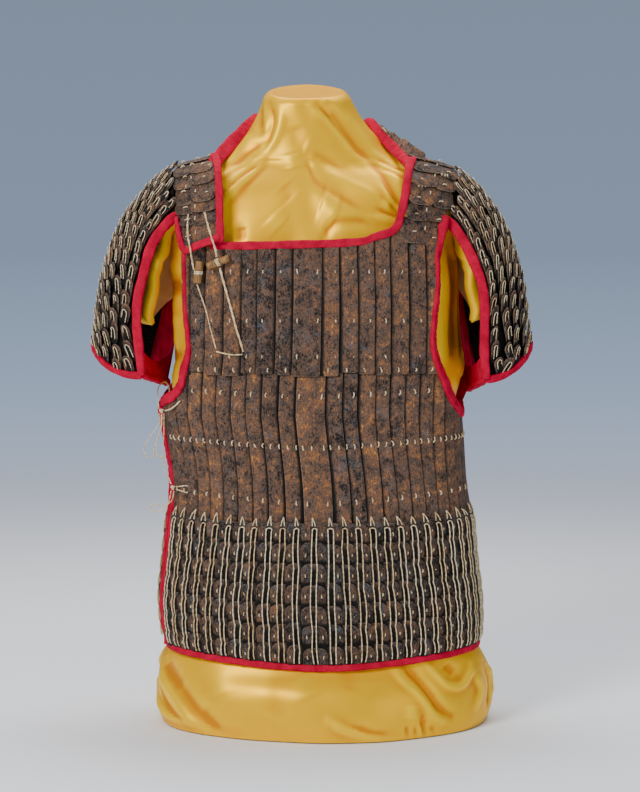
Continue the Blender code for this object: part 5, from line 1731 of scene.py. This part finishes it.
# ---------------------------------------------------------------------------------------------
# Sleeve gussets: crimson cotton under each arm, sewn from the last scales of the sleeve to the
# armhole. It hangs loose, in creases that run from the body to the sleeve's corner.

# Free edge of each gusset: place along the sleeve, x, y, z
GUSSETS = {
    "right": np.array([(0.32, -180, 80, 596), (0.60, -182, 68, 524), (0.80, -182, 38, 476),
                       (1.00, -189, -8, 423)], float),
    "left": np.array([(0.32, 170, 80, 592), (0.60, 173, 68, 519), (0.80, 177, 38, 470),
                      (1.00, 189, -6, 415)], float),
}


def gusset(side, reach, place, out=0.0):
    """The cloth from the last scales at 0 to its free edge at 1, down the sleeve."""
    start = along(SLEEVES[side], place)[..., 6:9]
    end = along(GUSSETS[side], place)
    turn = np.asarray(reach) * math.pi / 2
    x = start[..., 0] + (end[..., 0] - start[..., 0]) * np.sin(turn)
    y = end[..., 1] + (start[..., 1] - end[..., 1]) * np.cos(turn)
    z = start[..., 2] + (end[..., 2] - start[..., 2]) * np.sin(turn)
    away = np.array((0, 1, -0.2)) / math.hypot(1, 0.2)
    return np.stack([x, y, z], -1) + away * np.asarray(out)[..., None]


# Cotton's weave and nap: faded in patches, with fine threads and small creases
WEAVE, taken, given = new_group(
    "cotton_weave", {"Deep": (0.36, 0.0006, 0.022, 1.0), "Faded": (0.53, 0.001, 0.036, 1.0)},
    {"Color": "NodeSocketColor", "Height": "NodeSocketFloat"})
here = own_place(WEAVE)
thread = noise(WEAVE, here, 1400, 2.0)
share = spread_between(WEAVE, noise(WEAVE, here, 70, 4.0), 0.32, 0.66)
base = blend(WEAVE, share, taken["Deep"], taken["Faded"])
grain = sum_up(WEAVE, "MULTIPLY_ADD", thread, 0.3, 0.85)
WEAVE.links.new(blend(WEAVE, 1.0, base, grain, "MULTIPLY"), given["Color"])
crease = noise(WEAVE, here, 150, 4.0, 0.6, 1.2)
WEAVE.links.new(sum_up(WEAVE, "MULTIPLY_ADD", thread, 0.08, crease), given["Height"])


def crimson_cloth(name, shade):
    """Crimson cotton with a soft sheen; shade above 1 makes it brighter with painted light."""
    made, tree, principled = new_material(name, 0.85, Sheen_Weight=0.08, Sheen_Roughness=0.4,
                                          Sheen_Tint=(1.0, 0.12, 0.2, 1.0), Specular_IOR_Level=0.12)
    deep = (*(shade * c for c in (0.36, 0.0006, 0.022)), 1)
    faded = (*(shade * c for c in (0.53, 0.001, 0.036)), 1)
    cloth = add_node(tree, "Group", {"Deep": deep, "Faded": faded}, node_tree=WEAVE)
    tree.links.new(cloth.outputs["Color"], principled.inputs["Base Color"])
    bump(tree, principled, cloth.outputs["Height"], 0.55, 0.0016)
    return made


crimson = crimson_cloth("crimson_cloth", 1.0)
# a lighter copy for the gussets: painted light on cloth that lies in the sleeves' shadow
crimson_lit_copy = crimson_cloth("crimson_painted_lighter", 1.05)
for side in GUSSETS:
    reach, place = np.meshgrid(np.linspace(-0.05, 0.99, 44), np.linspace(0.32, 0.995, 40))
    waves = (2.2 * np.sin(reach * 13 + place * 17) * np.sin(place * 9)
             + 1.3 * np.sin(reach * 25 - place * 21) + 0.8 * np.sin(place * 66 + reach * 6))
    sheets = [closed_sheet(gusset(side, reach, place, waves + 0.6),
                           gusset(side, reach, place, waves - 0.6))]
    # a flap that sags across the sleeve's open lower corner
    across, drop = np.meshgrid(np.linspace(0, 1, 26), np.linspace(0, 1, 12))
    edge = sleeve(SLEEVES[side], np.full(across.shape, 1.0), 0.86 + 0.138 * drop, -4.0)
    free = gusset(side, np.full(across.shape, 0.98), 0.84 + 0.156 * drop)
    flap = edge + (free - edge) * across[..., None]
    sag = np.sin(across * math.pi)
    flap[..., 2] -= 17 * sag * (1 - drop) ** 1.5
    flap[..., 1] += 9 * sag * (1 - drop) + 3.0 * np.sin(across * 13 - drop * 7) * (1.2 - drop)
    sheets.append(closed_sheet(flap, flap + np.array((0, 1.2, 0.3))))
    if side == "left":  # sewn on to the armhole's lower corner
        across, drop = np.meshgrid(np.linspace(0, 1, 16), np.linspace(0, 1, 12))
        free = gusset(side, np.full(across.shape, 0.97), 0.80 + 0.19 * drop)
        body = np.array((172, 34, 446)) + drop[..., None] * np.array((5, -18, -60))
        patch = free + (body - free) * across[..., None]
        patch[..., 1] += 5 * np.sin(across * math.pi) + 1.5 * np.sin(across * 9 + drop * 8)
        sheets.append(closed_sheet(patch, patch + np.array((-0.4, 1.2, 0))))
    points, faces = np.empty((0, 3)), []
    for more, more_faces in sheets:
        faces += [tuple(n + len(points) for n in face) for face in more_faces]
        points = np.vstack([points, more])
    cloth = face_outwards(build_mesh(f"sleeve_gusset_{side}_cloth", in_place(points), faces,
                                     crimson_lit_copy))
    settle(cloth, "gusset_cloth", f"sleeve_gusset_{side}")


# ---------------------------------------------------------------------------------------------
# Bindings: strips of crimson cotton folded over every raw edge of the coat and sewn down, soft
# and slightly puckered. The neck's is the widest.

def strip(surface, places, out, width):
    """Points, outward directions and widths of a tape's middle, laid on a surface."""
    first, second = np.array(places, float).T
    middle = surface(first, second, np.zeros(len(first)) + out)
    away = surface(first, second, np.zeros(len(first)) + out + 1.0) - middle
    return np.hstack([middle, away, np.zeros((len(first), 1)) + np.reshape(width, (-1, 1))])


def strip_through(points, facing, width):
    """The same for a tape through points in the air, which faces one way."""
    points = np.array(points, float)
    return np.hstack([points, np.tile(np.array(facing, float), (len(points), 1)),
                      np.full((len(points), 1), float(width))])


TAPE_SIDES = 18


def rounded(wave, power):
    """A sine or cosine made squarer, for a section that is flat with round edges."""
    return np.sign(wave) * np.abs(wave) ** power


def lay_tapes(name, strips, node, thickness=6.0, seed=1):
    """Soft folded tape along each strip, flat across with rounded edges, puckered lengthwise."""
    draw = np.random.default_rng(seed)
    turn = 2 * math.pi * np.arange(TAPE_SIDES) / TAPE_SIDES
    points, faces = [], []
    for route in strips:
        path = smooth_route(route, 1.6)
        middle, away, width = path[:, :3], path[:, 3:6], path[:, 6]
        ahead = np.gradient(middle, axis=0)
        ahead /= np.linalg.norm(ahead, axis=1, keepdims=True)
        across = np.cross(ahead, away)
        across /= np.linalg.norm(across, axis=1, keepdims=True)
        lift = np.cross(across, ahead)
        far = running_length(middle)[:, None]
        end = np.clip(np.minimum(far, far[-1] - far) / 2.2, 0.0, 1.0)
        end = 0.35 + 0.65 * np.sqrt(1 - (1 - end) ** 2)
        phase = draw.uniform(0, 6, 6)
        wave = 1 + 0.05 * np.sin(far / 9.0 + phase[0]) + 0.03 * np.sin(far / 3.7 + phase[1])
        wide = rounded(np.cos(turn), 0.72) * (width[:, None] * end * wave) / 2
        thick = rounded(np.sin(turn), 0.62) * (end * thickness / 2)
        share = np.cos(turn) * np.ones((len(far), 1))
        slanted = far + 4.5 * share * np.sin(far / 37 + phase[2])
        strong = 0.55 + 0.45 * np.sin(far / 21 + phase[3])
        pucker = (0.34 * strong * np.sin(slanted / 1.25 + 1.8 * np.sin(far / 13 + phase[4]))
                  + 0.30 * np.sin(slanted / 3.3 + phase[5] + 2.2 * share)
                  + 0.22 * np.cos(2.6 * share + far / 15))
        thick = thick + np.clip(np.sin(turn) + 0.25, 0, 1) * pucker * end
        start = sum(len(block) for block in points)
        rings = (middle[:, None] + across[:, None] * wide[..., None]
                 + lift[:, None] * thick[..., None])
        points.append(rings.reshape(-1, 3))
        faces += tube_faces(len(path), TAPE_SIDES, start)
    tape = face_outwards(build_mesh(name, in_place(np.vstack(points)), faces, crimson, angle=75))
    settle(tape, "binding_cloth", node)


# The neck: across the chest, up to the left strap, over both shoulders and behind the neck, and
# down the inner edge of the right strap
front = strip(coat, [(-54, 594.5), (-40, 595), (-20, 596), (0, 597), (18, 598), (32, 600.5)],
              0.8, 9.8)
rising = strip(shoulder, [(67.6, 2.7), (86.6, 4.9), (95, 7.8), (98.8, 12), (102, 18.6),
                          (105.5, 28), (108, 39), (110.5, 50), (113, 60), (115, 68)],
               np.array((1.2, 1.4, 2.4, 3.0, 3.2, 3.2, 3.2, 3.2, 3.4, 3.6)),
               (9.6, 9.8, 10, 10, 10, 10, 10.2, 10.6, 11.4, 11.6))
above_left = [(113.5, -50, 691), (108, -38, 698.5), (99.5, -24, 708), (90, -13, 718.5),
              (80, -5, 730), (71, 1, 741), (65, 9, 747.5), (60, 22, 749), (57, 40, 744)]
above_right = [(-127.5, -48, 693.5), (-121.5, -34, 703.5), (-113, -22, 714), (-103.5, -13, 724.5),
               (-94, -5, 735), (-85, 2, 744.5), (-77, 11, 751), (-71, 25, 752.5), (-69, 40, 744)]
behind = strip(shoulder, [(x, 118.0) for x in (60, 36, 12, -12, -36, -70)], 0.4, 11.0)
down = strip(on_strap, [(-127.5, 72), (-126, 66), (-123, 56), (-121, 44), (-119.5, 32),
                        (-118.5, 22), (-118, 12), (-117.5, 5), (-117.5, 1.6)], 2.6,
             (11.5, 10.5, 9.4, 9.2, 9.2, 9.4, 9.6, 9.6, 9.2))
over_left = strip_through(above_left, (-0.3, -0.85, 0.45), 13.2)
over_right = strip_through(above_right, (0.3, -0.85, 0.45), 17.0)
lay_tapes("neck_binding_tape", [np.vstack([front, rising]), over_left, over_right, behind, down],
          "neck_binding", 6.4, 81)

end = strip(on_strap, [(-116.5, 3.4), (-124, 2.8), (-134, 1.9), (-145, 1.0), (-154, 0.4),
                       (-160, 0.2), (-164.5, 1.5), (-167.5, 5), (-170, 10), (-171.5, 15)], 4.4,
            (8.6, 8.8, 8.8, 8.8, 8.8, 8.6, 8.0, 7.2, 6.2, 5.2))
end[:, 2] -= 2.5 * np.exp(-((end[:, 0] + 160) / 9) ** 2)  # its outer corner droops
lay_tapes("strap_end_tape", [end], "strap_end_binding", 6.0, 82)


BACK_HEIGHTS = (400, 412, 430, 450, 480, 515, 550, 590)
behind_arm = [(float(along(BACK_EDGE, h)[0]), h) for h in BACK_HEIGHTS]


def beside(plates, sign, heights, widths, laps):
    """Places of an armhole tape's middle, so that it laps over the edge of the scales."""
    beyond = (np.array(widths) / 2 - laps) / 2.8 - (0.9 if sign < 0 else 0)  # in degrees
    return [(sign * (abs(float(plates(h))) + more), h) for h, more in zip(heights, beyond)]


# The left armhole: down in front, round below and up behind, on the coat and then the shoulder
top = strip(shoulder, [(154, 17), (152.5, 13), (150.5, 8.5), (148, 3.5)], 2.2, (8, 12, 12.5, 10.5))
heights = [580, 560, 540, 508, 482, 466, 452, 440, 428, 418, 408, 400]
widths = [9, 8.6, 8.6, 9.2, 10.2, 11.6, 13.4, 14.6, 15, 14.8, 14, 13]
laps = (2.4, 2.4, 2.4, 2.8, 3.4, 4.2, 4.8, 5, 4.8, 4.4, 4, 3.6)
outs = (0.8, 0.8, 0.8, 0.8, 1, 1.8, 2.4, 2.2, 1.6, 1, 0.8, 0.8)
side = strip(coat, beside(left_edge, 1, heights, widths, laps), outs, widths)
under = strip(coat, [(78.5, 391), (84, 389)] + behind_arm, 0.6, [12, 11] + 8 * [9.2])
last = strip(shoulder, [(157, 175), (163, 166)], 0.6, 9.2)
lay_tapes("armhole_left_tape", [np.vstack([top, side, under, last])], "armhole_binding_left",
          6.4, 83)

# The right armhole in front; behind, its tape runs on down the side opening's back edge
heights = [592, 580, 560, 540, 508, 482, 466, 452, 440, 428, 420, 412, 407]
widths = [5.6, 5.6, 5.8, 6, 6.6, 8, 10.6, 13.2, 14.6, 14.6, 14.2, 13.6, 13.2]
laps = (2.4, 2.4, 2.4, 2.4, 2.4, 2.5, 3.2, 4.4, 5.2, 4.8, 3.8, 3, 2.6)
outs = (0.9, 0.9, 0.9, 0.9, 0.9, 1.4, 2.2, 2.8, 2.4, 1.6, 1.2, 0.9, 0.9)
side = strip(coat, beside(right_edge, -1, heights, widths, laps), outs, widths)
under = strip(coat, [(-77.5, 403)], 0.9, [12.5])
lay_tapes("armhole_right_tape", [np.vstack([side, under])], "armhole_binding_right", 6.2, 84)
top = strip(shoulder, [(-171, 166), (-166, 175)], 0.6, 8.6)
back_edge = [(360 - turned, h) for turned, h in reversed(behind_arm)]
back_edge += [(OPENING_BACK, h) for h in (393, 380, 350, 310, 262, 200, 150, 112)]
side = strip(coat, back_edge, 0.6, 8.4)
lay_tapes("opening_back_tape", [np.vstack([top, side])], "opening_binding_back", 6.0, 85)
front_edge = [(OPENING_FRONT, h) for h in (399, 388, 375, 350, 325, 300, 280, 262, 230, 190, 150,
                                           112, 103)]
lay_tapes("opening_front_tape", [strip(coat, front_edge, 1.2, 9.4)], "opening_binding_front",
          6.6, 86)

# The hem, then each sleeve's front edge, its hem with the gusset's, and its lower corner
hem = strip(coat, [(a, hem_height(a)) for a in np.linspace(-79, 275, 61)], 0.8, 8.8)
lay_tapes("hem_tape", [hem], "hem_binding", 6.6, 87)
EDGE_PLACES = (0.0, 0.03, 0.08, 0.16, 0.27, 0.38, 0.5, 0.62, 0.74, 0.86, 0.95, 1.0)
EDGE_WIDTHS = (9, 11, 12.5, 12.8, 12.6, 12.4, 12.2, 12, 11.8, 11.4, 10.6, 9)
HEM_TURNS = (1, 8, 18, 32, 48, 66, 84, 96, 114, 132, 148, 162, 174)
HEM_WIDTHS = (10, 9.6, 8.6, 7.6, 7, 6.8, 6.6, 6.6, 6.6, 6.8, 7.4, 8.4, 9)
for side, inwards in (("right", 1), ("left", -1)):
    on_sleeve = partial(sleeve, SLEEVES[side])
    edge = strip(on_sleeve, [(1.5, place) for place in EDGE_PLACES], 1.0, EDGE_WIDTHS)
    edge[:, 0] += inwards * 5.5 * np.exp(-np.linspace(0, 3.2, len(edge)))
    hem = strip(on_sleeve, [(turn, 0.998) for turn in HEM_TURNS], -1.2, HEM_WIDTHS)
    under = strip(partial(gusset, side),
                  [(reach, 0.998) for reach in (0.1, 0.3, 0.5, 0.7, 0.85, 1)], 0.2, 8.4)
    free = on_sleeve(np.array([2.0]), np.array([0.995]), -2.0)[0]
    tip = gusset(side, np.array([0.98]), np.array([0.992]))[0]
    lower = np.linspace(free, tip, 6)
    lower[1:-1, 2] -= 1.5  # it sags a little
    corner = strip_through(lower, (0, -0.8, -0.6), 7.5)
    lay_tapes(f"sleeve_{side}_tape", [edge, np.vstack([hem, under]), corner],
              f"sleeve_binding_{side}", 6.6, 88)
